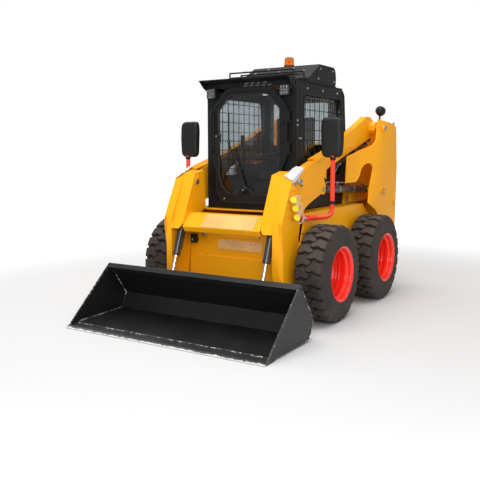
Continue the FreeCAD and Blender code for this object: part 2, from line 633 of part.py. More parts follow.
# Guard bars cross behind each side window: uprights outside, level bars just inside them.
bars = []
for i in range(8):
    behind = 210 + i * 92
    bars.append(block("guard_upright_%d" % i, ("cab_inside - 6", "cab_inside"), (behind, behind + 6),
                      (1100, 1840)))
for i in range(8):
    up = 1195 + i * 84
    bars.append(block("guard_level_%d" % i, ("cab_inside - 12.3", "cab_inside - 6.3"), (140, 930),
                      (up, up + 6)))
left_bars = group("guard_left", *bars)
node("cab_window_guards", group("guard_both", left_bars, mirror("guard_right", left_bars)))
pane = plate("side_pane", "side", [
    (150, 1120), (150, 1836), (900, 1836), ("cab_rear - seat_gap", 1800),
    ("cab_rear - seat_gap", 1120)],
             "cab_inside - 19", "cab_inside - 12.6")
rear_pane = block("rear_pane", ("110 - cab_half", "cab_half - 110"),
                  ("cab_rear - 6.3", "cab_rear - seat_gap"), (1380, "roof_z - 79"))
node("cab_windows", group("cab_panes", pane, mirror("side_pane_right", pane), rear_pane))
FRONT = [("0 - cab_inside", "cab_floor_z"), ("0 - cab_inside", 1858), ("cab_inside", 1858),
         ("cab_inside", "cab_floor_z")]
DOORWAY = [
    ("100 - cab_half", 1250), ("100 - cab_half", 1715), ("230 - cab_half", 1850),
    ("cab_half - 230", 1850),
    ("cab_half - 100", 1715), ("cab_half - 100", 1250), ("cab_half - 140", 1160),
    ("cab_half - 140", 960),
    ("cab_half - 180", 925), ("180 - cab_half", 925), ("140 - cab_half", 960), ("140 - cab_half", 1160),
]
front_sheet = plate("front_sheet_metal", "front", FRONT, 40, 0)
doorway = plate("doorway", "front", DOORWAY, 60, -20)
door_moving, door_fixed, door_bores = hinge(
    "door_hinge", "hinge_x", "hinge_y", (1380, 1640),
    (("cab_half - 90", "hinge_x"), ("door_front + 2", "hinge_y + 8")),
    (("hinge_x - hinge_pin - 1", "cab_inside"), ("hinge_y - hinge_pin - 1", 5)))
node("cab_front_frame", join("front_frame_hinged", carve("front_frame_whole", front_sheet, doorway),
                             *door_fixed))
rear_sheet = block("cab_rear_sheet", ("0 - cab_inside", "cab_inside"),
                   ("cab_rear", "cab_rear + cab_sheet"), (1000, "roof_z - 14"))
rear_hole = block("cab_rear_hole", ("140 - cab_half", "cab_half - 140"),
                  ("cab_rear - 6", "cab_rear + 24"), (1410, "roof_z - 109"))
node("cab_rear_frame", carve("rear_frame_whole", rear_sheet, rear_hole))
node("cab_floor", block("cab_floor_sheet", ("0 - cab_inside", "cab_inside"),
                        (40.3, "cab_rear - seat_gap"), ("cab_floor_z", "cab_floor_z + 10")))
# The roof sheet runs on into a visor that rises forwards; side gussets close its ends.
ROOF = [
    (-128, "roof_z + 31"), (-128, "roof_z + 39"), (20, "roof_top + 12"), (60, "roof_top"),
    ("cab_rear + 16", "roof_top"),
    ("cab_rear + 16", "roof_z + seat_gap"), (0, "roof_z + seat_gap"), (-3, "roof_z + 9"),
]
GUSSET = [(-126, "roof_z + 32"), (-60, "roof_z - 24"), (-3, "roof_z - 51"), (-3, "roof_z + 16")]
VISOR = [(-3, "roof_z - 27"), (-3, "roof_z + 16"), (-9, "roof_z + 16"), (-9, "roof_z - 27")]
roof = plate("cab_roof_sheet", "side", ROOF, "0 - cab_half", "cab_half")
gusset = plate("visor_gusset", "side", GUSSET, "cab_half - 10", "cab_half")
visor_face = plate("visor_face", "side", VISOR, "0 - cab_half", "cab_half")
node("cab_roof", join("cab_roof_whole", roof, gusset, mirror("visor_gusset_right", gusset), visor_face))
HOUSING = [
    (231, "roof_top + seat_gap"), (231, "roof_top + 38"), (348, "housing_z - 62"), (455, "housing_z"),
    (745, "housing_z"), (775, "housing_z - 22"), (792, "housing_z - 81"), (785, "roof_top + seat_gap"),
]
# The unit stands off to the left, so that the hatch beside it stays free.
housing = plate("roof_housing", "side", HOUSING, "200 - cab_half", "cab_half + 2")
beacon_foot = tube_of("beacon_foot", 48, [(100, 520, "housing_z - 2"), (100, 520, "housing_z + 16")],
                      16)
node("roof_unit", join("roof_unit_whole", housing, beacon_foot))
node("beacon_lens", tube_of("beacon_cap", 44, [(100, 520, "housing_z + 16.3"),
                                               (100, 520, "housing_z + 86")], 16))
lamp = join("work_lamp_piece", block("lamp_box", ("cab_half - 117", "cab_half - 27"), (-50, -14),
                                     ("roof_z - 113", "roof_z - 26")),
            block("lamp_stay", ("cab_half - 85", "cab_half - 69"), (-40, "0 - 9.3"),
                  ("roof_z - 34", "roof_z - 19")))
node("work_lamps", group("work_lamp_pair", lamp, mirror("work_lamp_right", lamp)))

# Door, hinged on the machine's left
DOOR = [
    ("72 - cab_half", 1305), ("72 - cab_half", 1700), ("85 - cab_half", 1730), ("217 - cab_half", 1878),
    ("240 - cab_half", 1886), ("cab_half - 217", 1886), ("cab_half - 194", 1878),
    ("cab_half - 64", 1730),
    ("cab_half - 58", 1700), ("cab_half - 58", 1305), ("cab_half - 100", 1216),
    ("cab_half - 111", 1014),
    ("cab_half - 162", 926), ("cab_half - 190", 912), ("190 - cab_half", 912), ("162 - cab_half", 926),
    ("111 - cab_half", 1014), ("111 - cab_half", 1216),
]
DOOR_PANE = [
    ("140 - cab_half", 1140), ("134 - cab_half", 1690), ("145 - cab_half", 1712),
    ("245 - cab_half", 1822),
    ("265 - cab_half", 1832), ("cab_half - 250", 1832), ("cab_half - 230", 1822),
    ("cab_half - 125", 1712),
    ("cab_half - 118", 1690), ("cab_half - 124", 1140), ("cab_half - 134", 1050),
    ("cab_half - 190", 990),
    ("480 - cab_half", 990), ("450 - cab_half", 1040), ("355 - cab_half", 1040),
    ("325 - cab_half", 990), ("240 - cab_half", 990), ("174 - cab_half", 1050),
]


def inset(points, gap):
    """A clockwise outline drawn smaller by a gap on every side."""
    spots = [Vector(value(u), value(v), 0) for u, v in points]
    moved = []
    for back, here, ahead in zip(spots[-1:] + spots[:-1], spots, spots[1:] + spots[:1]):
        before, after = (here - back).normalize(), (ahead - here).normalize()
        inward = Vector(before.y + after.y, -before.x - after.x, 0)
        moved.append(here + inward * (gap / (1 + before.dot(after))))
    return [(spot.x, spot.y) for spot in moved]


leaf = plate("door_leaf", "front", DOOR, "door_back", "door_front")
pane_hole = plate("pane_hole", "front", DOOR_PANE, "20", "-60")
node("door_frame", carve("door_frame_whole", join("door_frame_hinged",
                                                  carve("door_frame_open", leaf, pane_hole),
                                                  *door_moving),
                         *door_bores))
node("door_glass", plate("door_pane", "front", inset(DOOR_PANE, SIZE["seat_gap"]), "pane_back",
                         "pane_front"))
grip = tube_of("grip", 9, [("90 - cab_half", "door_front - seat_gap", 1360),
                           ("90 - cab_half", -78, 1360),
                           ("90 - cab_half", -78, 1686),
                           ("90 - cab_half", "door_front - seat_gap", 1686)])
latch = block("door_latch", ("110 - cab_half", "160 - cab_half"), (-62, "door_front - seat_gap"),
              (1440, 1500))
node("door_handle", group("door_handles", grip, latch))
hub = tube_of("wiper_hub", 22, [("400 - cab_half", "door_front - seat_gap", 1000),
                                ("400 - cab_half", -66, 1000)])
arm_rod = tube_of("wiper_arm", 7, [("400 - cab_half", -56, 1000), ("240 - cab_half", -56, 1310),
                                   ("168 - cab_half", -50, 1500)])
node("wiper", join("wiper_piece", hub, arm_rod))

# Rear
HOOD = [
    ("cab_rear + 109", "cab_floor_z"), ("cab_rear + 109", 1420), (1300, 1400), ("tail_end - 60", 1200),
    ("tail_end - 60", 870), ("tail_end - 66", 870), ("tail_end - 66", 1196), (1298, 1394),
    ("cab_rear + 115", 1413), ("cab_rear + 115", "cab_floor_z"),
]
node("rear_hood", plate("rear_hood_sheet", "side", HOOD, "seat_gap - tower_inner",
                        "tower_inner - seat_gap"))
gate_leaf = block("tailgate_leaf", ("gate_inset - cab_half", "cab_half - gate_inset"),
                  ("tail_end - gate_thick", "tail_end - 4"), (330, 1190))
slots = [block("louvre_%d" % i, ("110 - cab_half", "cab_half - 110"),
               ("tail_end - 60", "tail_end + 10"), (720 + 60 * i, 748 + 60 * i)) for i in range(6)]
handle = block("gate_handle", ("30 - cab_half", "70 - cab_half"), ("tail_end - 5", "tail_end"),
               (600, 720))
gate = carve("tailgate_open", gate_leaf, *slots)
node("tailgate", carve("tailgate_whole", join("tailgate_hinged", gate, handle, *gate_moving),
                       *gate_bores))
tail_lamp = block("tail_lamp", ("tower_inner + 40", "tower_inner + 110"),
                  ("tail_end - 39.7", "tail_end - 12"), (900, 1030))
rear_lamp = join("rear_lamp", tube_of("rear_lamp_pot", 50,
                                      [("tower_inner + 55", "tail_end - 65", 1760),
                                       ("tower_inner + 55", "tail_end - 128", 1775)], 12),
                 tube_of("rear_lamp_stem", 12, [("tower_inner + 55", "tail_end - 98", 1600.3),
                                                ("tower_inner + 55", "tail_end - 98", 1730)]))
node("rear_lamps", group("rear_lamp_pair", rear_lamp, mirror("rear_lamp_right", rear_lamp)))
node("tail_lamps", group("tail_lamp_pair", tail_lamp, mirror("tail_lamp_right", tail_lamp)))

# Seat and controls
node("seat_base", block("seat_plinth", ("220 - cab_half", "cab_half - 220"), (430, 880),
                        ("cab_floor_z + 10.3", 1080)))
node("seat_cushion", block("seat_pad", ("200 - cab_half", "cab_half - 200"), (420, 900),
                           (1080.3, 1180)))
node("seat_back", block("seat_back_pad", ("210 - cab_half", "cab_half - 210"), (790, 900),
                        (1180.3, 1700)))
side_box = block("control_box", ("cab_half - 168", "cab_half - 100"), (330, 860),
                 ("cab_floor_z + 10.3", 1240))
lever = join("lever", tube_of("lever_stem", 9, [("cab_half - 140", 380, 1230),
                                                ("cab_half - 160", 330, 1400)]),
             tube_of("lever_grip", 20, [("cab_half - 160", 330, 1395), ("cab_half - 168", 315, 1500)]))
control = join("control_side", side_box, lever)
node("control_boxes", group("control_pair", control, mirror("control_right", control)))
LAP_BAR = [
    ("cab_half - 185", "cab_rear - seat_gap", 1330), ("cab_half - 185", 820, 1330),
    ("cab_half - 185", 380, 1290), ("185 - cab_half", 380, 1290), ("185 - cab_half", 820, 1330),
    ("185 - cab_half", "cab_rear - seat_gap", 1330),
]
node("lap_bar", tube_of("lap_bar_tube", 14, LAP_BAR))

# Mirrors on bent tubes
TUBE = [
    ("skin_outer + 16", -60, 812), ("skin_outer + 32", 20, 820), ("skin_outer + 88", 55, 826),
    ("skin_outer + 124", 74, 846), ("skin_outer + 138", 84, 884), ("skin_outer + 141", 88, 940),
    ("skin_outer + 141", 88, 1330),
]
foot_block = block("mirror_foot", ("skin_outer + seat_gap", "skin_outer + 26"), (-80, 10), (800, 834))
bracket = join("mirror_tube", foot_block, tube_of("mirror_pipe", 16, TUBE, 6))
node("mirror_brackets", group("mirror_bracket_pair", bracket, mirror("mirror_bracket_right", bracket)))
MIRROR = [
    ("skin_outer + 54", 1330), ("skin_outer + 198", 1330), ("skin_outer + 212", 1342),
    ("skin_outer + 220", 1360),
    ("skin_outer + 220", 1600), ("skin_outer + 212", 1617), ("skin_outer + 198", 1626),
    ("skin_outer + 54", 1626),
    ("skin_outer + 40", 1617), ("skin_outer + 32", 1600), ("skin_outer + 32", 1360),
    ("skin_outer + 40", 1342),
]
shell = plate("mirror_shell", "front", MIRROR, 134, 88)
node("mirrors", group("mirror_pair", shell, mirror("mirror_right", shell)))

doc.recompute()
trouble = [o.Name for o in doc.Objects if "Invalid" in o.State or "Error" in o.State]
for name, item in NODES.items():
    if item.Shape.isNull() or not item.Shape.isValid():
        trouble.append("shape of " + name)
if trouble:
    raise SystemExit("not built: " + ", ".join(trouble))

os.makedirs("parts", exist_ok=True)
for name, item in NODES.items():
    shape = item.Shape
    if len(shape.Solids) == 1:
        shape = shape.Solids[0]
    shape.exportStep("parts/%s.step" % name)
    print("%-20s %2d solid(s)  %s" % (name, len(item.Shape.Solids), item.Shape.BoundBox))
print(len(NODES), "nodes")
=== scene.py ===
# %% [markdown]
# A skid steer loader stands on a yard with its bucket flat on the ground. The imported model is
# the fixed frame: every piece made here rides on one of its bodies, and each rounded panel takes
# the place of the plain solid below it. This first cell loads that frame.

# %% Load the frame
import json
import math
import bmesh
import bpy
from mathutils import Euler, Matrix, Vector, noise

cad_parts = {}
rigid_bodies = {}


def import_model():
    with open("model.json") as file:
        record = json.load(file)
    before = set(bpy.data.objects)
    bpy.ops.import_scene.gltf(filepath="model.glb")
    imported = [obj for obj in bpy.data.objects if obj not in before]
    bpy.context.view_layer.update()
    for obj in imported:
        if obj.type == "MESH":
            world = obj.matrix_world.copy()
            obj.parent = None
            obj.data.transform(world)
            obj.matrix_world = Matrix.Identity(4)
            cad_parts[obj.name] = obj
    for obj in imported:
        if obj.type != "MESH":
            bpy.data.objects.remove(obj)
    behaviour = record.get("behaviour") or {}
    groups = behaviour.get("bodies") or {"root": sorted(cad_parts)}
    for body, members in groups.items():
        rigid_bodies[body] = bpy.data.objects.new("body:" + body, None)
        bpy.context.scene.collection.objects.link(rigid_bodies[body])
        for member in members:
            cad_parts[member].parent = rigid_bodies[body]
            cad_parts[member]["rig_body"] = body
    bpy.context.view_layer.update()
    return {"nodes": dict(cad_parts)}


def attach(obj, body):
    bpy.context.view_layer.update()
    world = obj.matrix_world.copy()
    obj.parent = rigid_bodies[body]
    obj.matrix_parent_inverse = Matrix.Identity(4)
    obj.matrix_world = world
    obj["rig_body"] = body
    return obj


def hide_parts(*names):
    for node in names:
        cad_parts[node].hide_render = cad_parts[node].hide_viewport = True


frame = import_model()
nodes = frame["nodes"]
body_of = {n: o["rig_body"] for n, o in nodes.items()}
# The front axle's place on the frame's second axis, in metres.
FRONT = -0.281

# %% [markdown]
# The camera stands at the photographer's place, at chest height ahead of the machine's left front
# wheel. Its place and lens come from fitting the known tyre size and wheelbase to the picture. The
# focal length is written as a 36 mm wide sensor's, and a small shift lowers the horizon as it is there.

# %% Camera
PICTURE_WIDE, FOCAL_PIXELS, HORIZON_PIXELS = 480, 661.8, 26
SENSOR_WIDE = 36
lens = bpy.data.cameras.new("camera")
lens.sensor_width = SENSOR_WIDE
lens.lens = FOCAL_PIXELS / PICTURE_WIDE * SENSOR_WIDE
lens.shift_y = -HORIZON_PIXELS / PICTURE_WIDE
lens.clip_end = 200
camera = bpy.data.objects.new("camera", lens)
bpy.context.scene.collection.objects.link(camera)
camera.location = (2.921, -4.806 + FRONT, 1.354)
camera.rotation_euler = Euler((math.radians(90 - 5.39), math.radians(0.12), math.radians(32.11)), "XYZ")
bpy.context.scene.camera = camera
print("camera at", tuple(round(v, 3) for v in camera.location), "lens", round(lens.lens, 1), "mm")

# %% [markdown]
# The floor is one large pale sheet that keeps the machine's shadow. Three broad area lamps light it
# as an overcast sky does: a wide one overhead, a softer one from the front left and a weak one from
# behind. The world is white for the camera and through glass, a mild grey for the light it gives, and
# darker still in reflections, as the yard around the machine is.

# %% Floor and light
def surface(name):
    """A new material with its Principled shader, and a short way to add and wire nodes."""
    material = bpy.data.materials.new(name)
    material.use_nodes = True
    return material, material.node_tree, material.node_tree.nodes["Principled BSDF"]


def add(tree, kind, **values):
    """A node of one kind; values name its properties, or its inputs when they start with i_."""
    item = tree.nodes.new("ShaderNode" + kind)
    for key, given in values.items():
        if key.startswith("i_"):
            socket = item.inputs[key[2:].replace("_", " ")]
            if isinstance(given, bpy.types.NodeSocket):
                tree.links.new(given, socket)
            else:
                socket.default_value = given
        else:
            setattr(item, key, given)
    return item


floor_paint, tree, shader = surface("pale_floor")
shader.inputs["Roughness"].default_value = 0.9
speck = add(tree, "TexNoise", i_Scale=3.0, i_Detail=4.0)
tone = add(tree, "MapRange", i_Value=speck.outputs["Fac"], i_To_Min=0.60, i_To_Max=0.68)
grey = add(tree, "CombineColor", i_Red=tone.outputs[0], i_Green=tone.outputs[0], i_Blue=tone.outputs[0])
tree.links.new(grey.outputs[0], shader.inputs["Base Color"])
# Far from the machine the floor turns into the white of the background.
ground = add(tree, "NewGeometry")
away = add(tree, "VectorMath", operation="LENGTH")
tree.links.new(ground.outputs["Position"], away.inputs[0])
fade = add(tree, "MapRange", interpolation_type="SMOOTHSTEP", i_Value=away.outputs["Value"],
           i_From_Min=2.4, i_From_Max=7.5)
rays = add(tree, "LightPath")
glow = add(tree, "Math", operation="MULTIPLY", i_Value=fade.outputs[0])
tree.links.new(rays.outputs["Is Camera Ray"], glow.inputs[1])
tree.links.new(glow.outputs[0], shader.inputs["Emission Strength"])
shader.inputs["Emission Color"].default_value = (1, 1, 1, 1)
mesh = bpy.data.meshes.new("floor")
form = bmesh.new()
bmesh.ops.create_grid(form, x_segments=8, y_segments=8, size=40)
form.to_mesh(mesh)
form.free()
mesh.materials.append(floor_paint)
floor = bpy.data.objects.new("floor", mesh)
floor.location.z = -0.002
bpy.context.scene.collection.objects.link(floor)
LAMPS = [
    # name, place, aimed at, size, power
    ("sky_panel", (0.5, -1.0, 7.0), (0, 0, 0.5), 7.0, 380),
    ("front_panel", (3.6, -7.0, 3.4), (0, 0, 0.8), 4.0, 250),
    ("far_panel", (-5.5, 2.0, 4.5), (0, 0, 1.0), 4.0, 120),
]
for name, place, aim, size, power in LAMPS:
    light = bpy.data.lights.new(name, "AREA")
    light.shape, light.size, light.energy = "DISK", size, power
    lamp = bpy.data.objects.new(name, light)
    lamp.location = place
    lamp.rotation_euler = (Vector(aim) - Vector(place)).to_track_quat("-Z", "Y").to_euler()
    bpy.context.scene.collection.objects.link(lamp)
world = bpy.data.worlds.new("soft_sky")
bpy.context.scene.world = world
world.use_nodes = True
tree = world.node_tree
sky = tree.nodes["Background"]
path = add(tree, "LightPath")
seen = add(tree, "Math", operation="MAXIMUM", i_Value=path.outputs["Is Camera Ray"])
tree.links.new(path.outputs["Is Transmission Ray"], seen.inputs[1])
MIRRORED_LOSS, SKY_LIGHT = 0.30, 0.64
mirrored = add(tree, "Math", operation="MULTIPLY", i_Value=path.outputs["Is Glossy Ray"])
mirrored.inputs[1].default_value = MIRRORED_LOSS
level = add(tree, "MapRange", i_Value=seen.outputs[0], i_To_Min=SKY_LIGHT, i_To_Max=1.0)
dimmed = add(tree, "Math", operation="SUBTRACT", i_Value=level.outputs[0])
tree.links.new(mirrored.outputs[0], dimmed.inputs[1])
tree.links.new(dimmed.outputs[0], sky.inputs["Strength"])
sky.inputs["Color"].default_value = (1, 1, 1, 1)
bpy.context.scene.view_settings.view_transform = "Standard"
print("three lamps and a white world")

# %% [markdown]
# Paint on a working machine is never one flat colour. Dust settles on faces that look up and near
# the ground, the sheen changes in patches, and edges rub through to bare steel. Two node groups
# hold these effects once, and every finish below places them with its own values. Both work in the
# object's own coordinates, so the marks stay on a piece when it moves.

# %% Shader groups: weathering and grain
def node_group(name, inputs, outputs):
    """An empty shader group; inputs and outputs are (name, socket kind, default)."""
    group = bpy.data.node_groups.new(name, "ShaderNodeTree")
    for way, sockets in (("INPUT", inputs), ("OUTPUT", outputs)):
        for label, kind, default in sockets:
            socket = group.interface.new_socket(name=label, in_out=way,
                                                socket_type="NodeSocket" + kind)
            if default is not None:
                socket.default_value = default
    return group, group.nodes.new("NodeGroupInput").outputs, group.nodes.new("NodeGroupOutput").inputs


def mix(tree, share, first, second):
    """A colour mix node's result."""
    blend = add(tree, "Mix", data_type="RGBA")
    for socket, given in ((blend.inputs[0], share), (blend.inputs[6], first), (blend.inputs[7], second)):
        tree.links.new(given, socket)
    return blend.outputs[2]


def maths(tree, operation, *terms, clamp=False):
    """A math node's result; each term is a number or a socket."""
    item = tree.nodes.new("ShaderNodeMath")
    item.operation, item.use_clamp = operation, clamp
    for socket, term in zip(item.inputs, terms):
        if isinstance(term, bpy.types.NodeSocket):
            tree.links.new(term, socket)
        else:
            socket.default_value = term
    return item.outputs[0]


def band(tree, value, low, high, start=0.0, end=1.0):
    """Maps low..high onto start..end and clamps."""
    item = add(tree, "MapRange", i_Value=value, i_From_Min=low, i_From_Max=high, i_To_Min=start, i_To_Max=end)
    return item.outputs[0]


weathering, given, result = node_group(
    "weathering",
    [("Tint", "Color", (0.5, 0.5, 0.5, 1)), ("Dust Tint", "Color", (0.33, 0.28, 0.22, 1)),
     ("Bare Tint", "Color", (0.35, 0.33, 0.31, 1)), ("Dust", "Float", 0.2), ("Low", "Float", 0.9),
     ("Wear", "Float", 0.0), ("Mottle", "Float", 0.1), ("Sheen Level", "Float", 0.4)],
    [("Color", "Color", None), ("Roughness", "Float", None), ("Bare", "Float", None)])
tree = weathering
place = add(tree, "TexCoord")
patches = add(tree, "TexNoise", i_Scale=4.0, i_Detail=5.0, i_Roughness=0.6, i_Vector=place.outputs["Object"])
fine = add(tree, "TexNoise", i_Scale=70.0, i_Detail=3.0, i_Vector=place.outputs["Object"])
split = add(tree, "SeparateXYZ", i_Vector=place.outputs["Object"])
facing = add(tree, "SeparateXYZ", i_Vector=place.outputs["Normal"])
shade = maths(tree, "MULTIPLY", maths(tree, "SUBTRACT", patches.outputs["Fac"], 0.5), given["Mottle"])
toned = add(tree, "HueSaturation", i_Value=maths(tree, "ADD", 1.0, maths(tree, "MULTIPLY", shade, 2.0)))
tree.links.new(given["Tint"], toned.inputs["Color"])
low = maths(tree, "MULTIPLY", maths(tree, "SUBTRACT", given["Low"], split.outputs["Z"]), 1.6, clamp=True)
upward = band(tree, facing.outputs["Z"], 0.35, 1.0)
cover = maths(tree, "MULTIPLY", maths(tree, "ADD", maths(tree, "ADD", low, upward), 0.15), given["Dust"])
specks = maths(tree, "MULTIPLY", fine.outputs["Fac"], 0.35)
blotch = maths(tree, "ADD", band(tree, patches.outputs["Fac"], 0.38, 0.66), specks)
dusty = maths(tree, "MULTIPLY", cover, blotch, clamp=True)
corner = add(tree, "Bevel", samples=4, i_Radius=0.007)
flat = add(tree, "NewGeometry")
sharp = add(tree, "VectorMath", operation="DOT_PRODUCT")
tree.links.new(corner.outputs[0], sharp.inputs[0])
tree.links.new(flat.outputs["Normal"], sharp.inputs[1])
rub = band(tree, sharp.outputs["Value"], 0.992, 0.90)
chips = band(tree, fine.outputs["Fac"], 0.50, 0.62)
flakes = maths(tree, "ADD", chips, band(tree, patches.outputs["Fac"], 0.52, 0.6))
bare = maths(tree, "MULTIPLY", maths(tree, "MULTIPLY", rub, flakes), given["Wear"], clamp=True)
worn = mix(tree, bare, toned.outputs[0], given["Bare Tint"])
tree.links.new(mix(tree, dusty, worn, given["Dust Tint"]), result["Color"])
ripple = maths(tree, "MULTIPLY", maths(tree, "SUBTRACT", fine.outputs["Fac"], 0.5), 0.12)
sheen = maths(tree, "ADD", given["Sheen Level"], ripple)
dulled = maths(tree, "ADD", sheen, maths(tree, "MULTIPLY", dusty, 0.45), clamp=True)
tree.links.new(dulled, result["Roughness"])
tree.links.new(bare, result["Bare"])

grain, given, result = node_group(
    "grain", [("Scale", "Float", 300.0), ("Waviness", "Float", 0.3)], [("Height", "Float", None)])
tree = grain
place = add(tree, "TexCoord")
pores = add(tree, "TexNoise", i_Detail=2.0, i_Vector=place.outputs["Object"])
tree.links.new(given["Scale"], pores.inputs["Scale"])
swell = add(tree, "TexNoise", i_Scale=14.0, i_Detail=1.0, i_Vector=place.outputs["Object"])
waves = maths(tree, "MULTIPLY", swell.outputs["Fac"], given["Waviness"])
tree.links.new(maths(tree, "ADD", pores.outputs["Fac"], waves), result["Height"])
print("groups:", weathering.name, grain.name)

# %% [markdown]
# Each finish is one Principled shader fed by the two groups. Sheet metal has a clear glossy coat over
# its pigment; rubber and moulded plastic are dull with a fine pebble; chrome and bare steel are metals.
# The values that are the same all over a piece are typed on the shader's own sockets.

# %% Finishes
def finish(name, tint, rough, metal=0.0, coat=0.0, dust=0.15, low=0.9, wear=0.0, mottle=0.10,
           pores=(300.0, 0.3, 0.05), dust_tint=(0.36, 0.31, 0.25), bare_tint=(0.36, 0.34, 0.32), shine=0.5):
    """A weathered opaque material; pores are the grain's scale, waviness and bump strength."""
    material, tree, shader = surface(name)
    marks = tree.nodes.new("ShaderNodeGroup")
    marks.node_tree = weathering
    for label, value in (("Tint", (*tint, 1)), ("Dust Tint", (*dust_tint, 1)), ("Bare Tint", (*bare_tint, 1)),
                         ("Dust", dust), ("Low", low), ("Wear", wear), ("Mottle", mottle),
                         ("Sheen Level", rough)):
        marks.inputs[label].default_value = value
    tree.links.new(marks.outputs["Color"], shader.inputs["Base Color"])
    tree.links.new(marks.outputs["Roughness"], shader.inputs["Roughness"])
    if wear and not metal:
        tree.links.new(marks.outputs["Bare"], shader.inputs["Metallic"])
    else:
        shader.inputs["Metallic"].default_value = metal
    shader.inputs["Coat Weight"].default_value = coat
    shader.inputs["Coat Roughness"].default_value = 0.08
    shader.inputs["Specular IOR Level"].default_value = shine
    texture = tree.nodes.new("ShaderNodeGroup")
    texture.node_tree = grain
    texture.inputs["Scale"].default_value, texture.inputs["Waviness"].default_value = pores[:2]
    bump = add(tree, "Bump", i_Strength=pores[2], i_Distance=0.002, i_Height=texture.outputs["Height"])
    tree.links.new(bump.outputs[0], shader.inputs["Normal"])
    return material


YELLOW = finish("loader_yellow", (0.95, 0.40, 0.002), 0.44, coat=0.04, dust=0.03, low=0.6, wear=0.15,
                mottle=0.05, pores=(220.0, 1.2, 0.05), shine=0.22)
FILMED = finish("yellow_under_film", (0.86, 0.47, 0.14), 0.26, coat=0.5, dust=0.05, mottle=0.35,
                pores=(40.0, 3.0, 0.35))
FRESH = finish("yellow_under_clear_film", (0.99, 0.44, 0.003), 0.30, coat=0.3, dust=0.02, mottle=0.03,
               pores=(40.0, 1.0, 0.05))
BUCKET_BLACK = finish("bucket_black", (0.0092, 0.0092, 0.0100), 0.40, coat=0.05, dust=0.04, low=0.3, wear=0.4,
                      mottle=0.2, pores=(160.0, 1.0, 0.10), dust_tint=(0.06, 0.057, 0.053),
                      bare_tint=(0.20, 0.19, 0.18), shine=0.34)
CAB_BLACK = finish("cab_black", (0.0065, 0.007, 0.0075), 0.42, coat=0.04, dust=0.03, low=1.1, wear=0.06,
                   pores=(420.0, 0.8, 0.10), shine=0.25)
SHELL_BLACK = finish("moulded_black", (0.010, 0.0105, 0.0105), 0.50, dust=0.05, low=0.6,
                     pores=(900.0, 0.2, 0.14), shine=0.3)
RIM_RED = finish("rim_red", (0.92, 0.026, 0.010), 0.24, coat=0.45, dust=0.01, low=0.25, wear=0.06,
                 mottle=0.04, pores=(60.0, 0.6, 0.012))
TUBE_RED = finish("mirror_tube_red", (0.90, 0.040, 0.010), 0.30, coat=0.3, dust=0.05,
                  pores=(240.0, 1.0, 0.05))
RUBBER = finish("tyre_rubber", (0.028, 0.020, 0.016), 0.70, dust=0.34, low=0.30, mottle=0.5,
                pores=(130.0, 0.5, 0.30), dust_tint=(0.15, 0.125, 0.10))
IRON = finish("dark_iron", (0.045, 0.043, 0.042), 0.55, metal=0.6, dust=0.3, mottle=0.3,
              pores=(120.0, 0.4, 0.25))
ZINC = finish("zinc_plate", (0.52, 0.52, 0.50), 0.34, metal=1.0, dust=0.1, mottle=0.15,
              pores=(500.0, 0.2, 0.05))
CHROME = finish("rod_chrome", (0.78, 0.79, 0.80), 0.12, metal=1.0, dust=0.02, mottle=0.03,
                pores=(600.0, 0.1, 0.01))
PIPE_BLACK = finish("cylinder_black", (0.020, 0.020, 0.021), 0.30, coat=0.4, dust=0.12, low=0.8, wear=0.2,
                    pores=(300.0, 0.6, 0.06))
VINYL = finish("seat_vinyl", (0.022, 0.022, 0.023), 0.48, dust=0.08, low=1.4, pores=(260.0, 0.2, 0.45))
SEAL = finish("rubber_seal", (0.012, 0.012, 0.012), 0.50, dust=0.06, pores=(300.0, 0.2, 0.10))
FOAM = finish("foam_wrap", (0.60, 0.60, 0.61), 0.42, dust=0.03, mottle=0.25, pores=(55.0, 4.0, 0.45))
CAP_YELLOW = finish("coupler_cap", (0.86, 0.72, 0.01), 0.32, dust=0.12, pores=(300.0, 0.3, 0.1))
LAMP_RED = finish("lamp_red", (0.50, 0.012, 0.010), 0.12, coat=0.6, dust=0.05, pores=(260.0, 0.2, 0.05))
GREY_PLATE = finish("inner_grey", (0.10, 0.10, 0.10), 0.6, dust=0.25, low=0.9, pores=(200.0, 0.5, 0.1))


def clear(name, tint, rough, ior, smudge=0.06):
    """A see-through finish whose sheen changes in faint smears."""
    material, tree, shader = surface(name)
    shader.inputs["Base Color"].default_value = (*tint, 1)
    shader.inputs["Transmission Weight"].default_value = 1.0
    shader.inputs["IOR"].default_value = ior
    place = add(tree, "TexCoord")
    smears = add(tree, "TexNoise", i_Scale=9.0, i_Detail=4.0, i_Vector=place.outputs["Object"])
    tree.links.new(band(tree, smears.outputs["Fac"], 0.35, 0.75, rough, rough + smudge),
                   shader.inputs["Roughness"])
    return material


GLASS = clear("tinted_glass", (0.66, 0.70, 0.72), 0.0, ior=1.45, smudge=0.004)
AMBER = clear("amber_lens", (1.0, 0.30, 0.01), 0.10, ior=1.4, smudge=0.1)
AMBER_HEART = finish("beacon_heart", (0.98, 0.45, 0.03), 0.35, dust=0.02, pores=(300.0, 0.2, 0.05))
BOWL = finish("lamp_bowl", (0.22, 0.22, 0.225), 0.32, metal=0.85, dust=0.02, mottle=0.1,
              pores=(400.0, 0.2, 0.03))
LENS = clear("lamp_glass", (0.93, 0.95, 0.96), 0.02, ior=1.3)
MIRROR_FACE = finish("mirror_face", (0.85, 0.86, 0.87), 0.03, metal=1.0, dust=0.03, mottle=0.02,
                     pores=(3.0, 0.1, 0.01))
print(len(bpy.data.materials), "finishes")

# %% [markdown]
# Folded and welded plate has small rounded edges that catch the light. The solids of the frame have
# sharp ones, so each painted panel is a copy of its solid with the triangles merged into whole faces
# and every real edge bevelled. Its flat faces keep their place, so nothing is moved or resized.

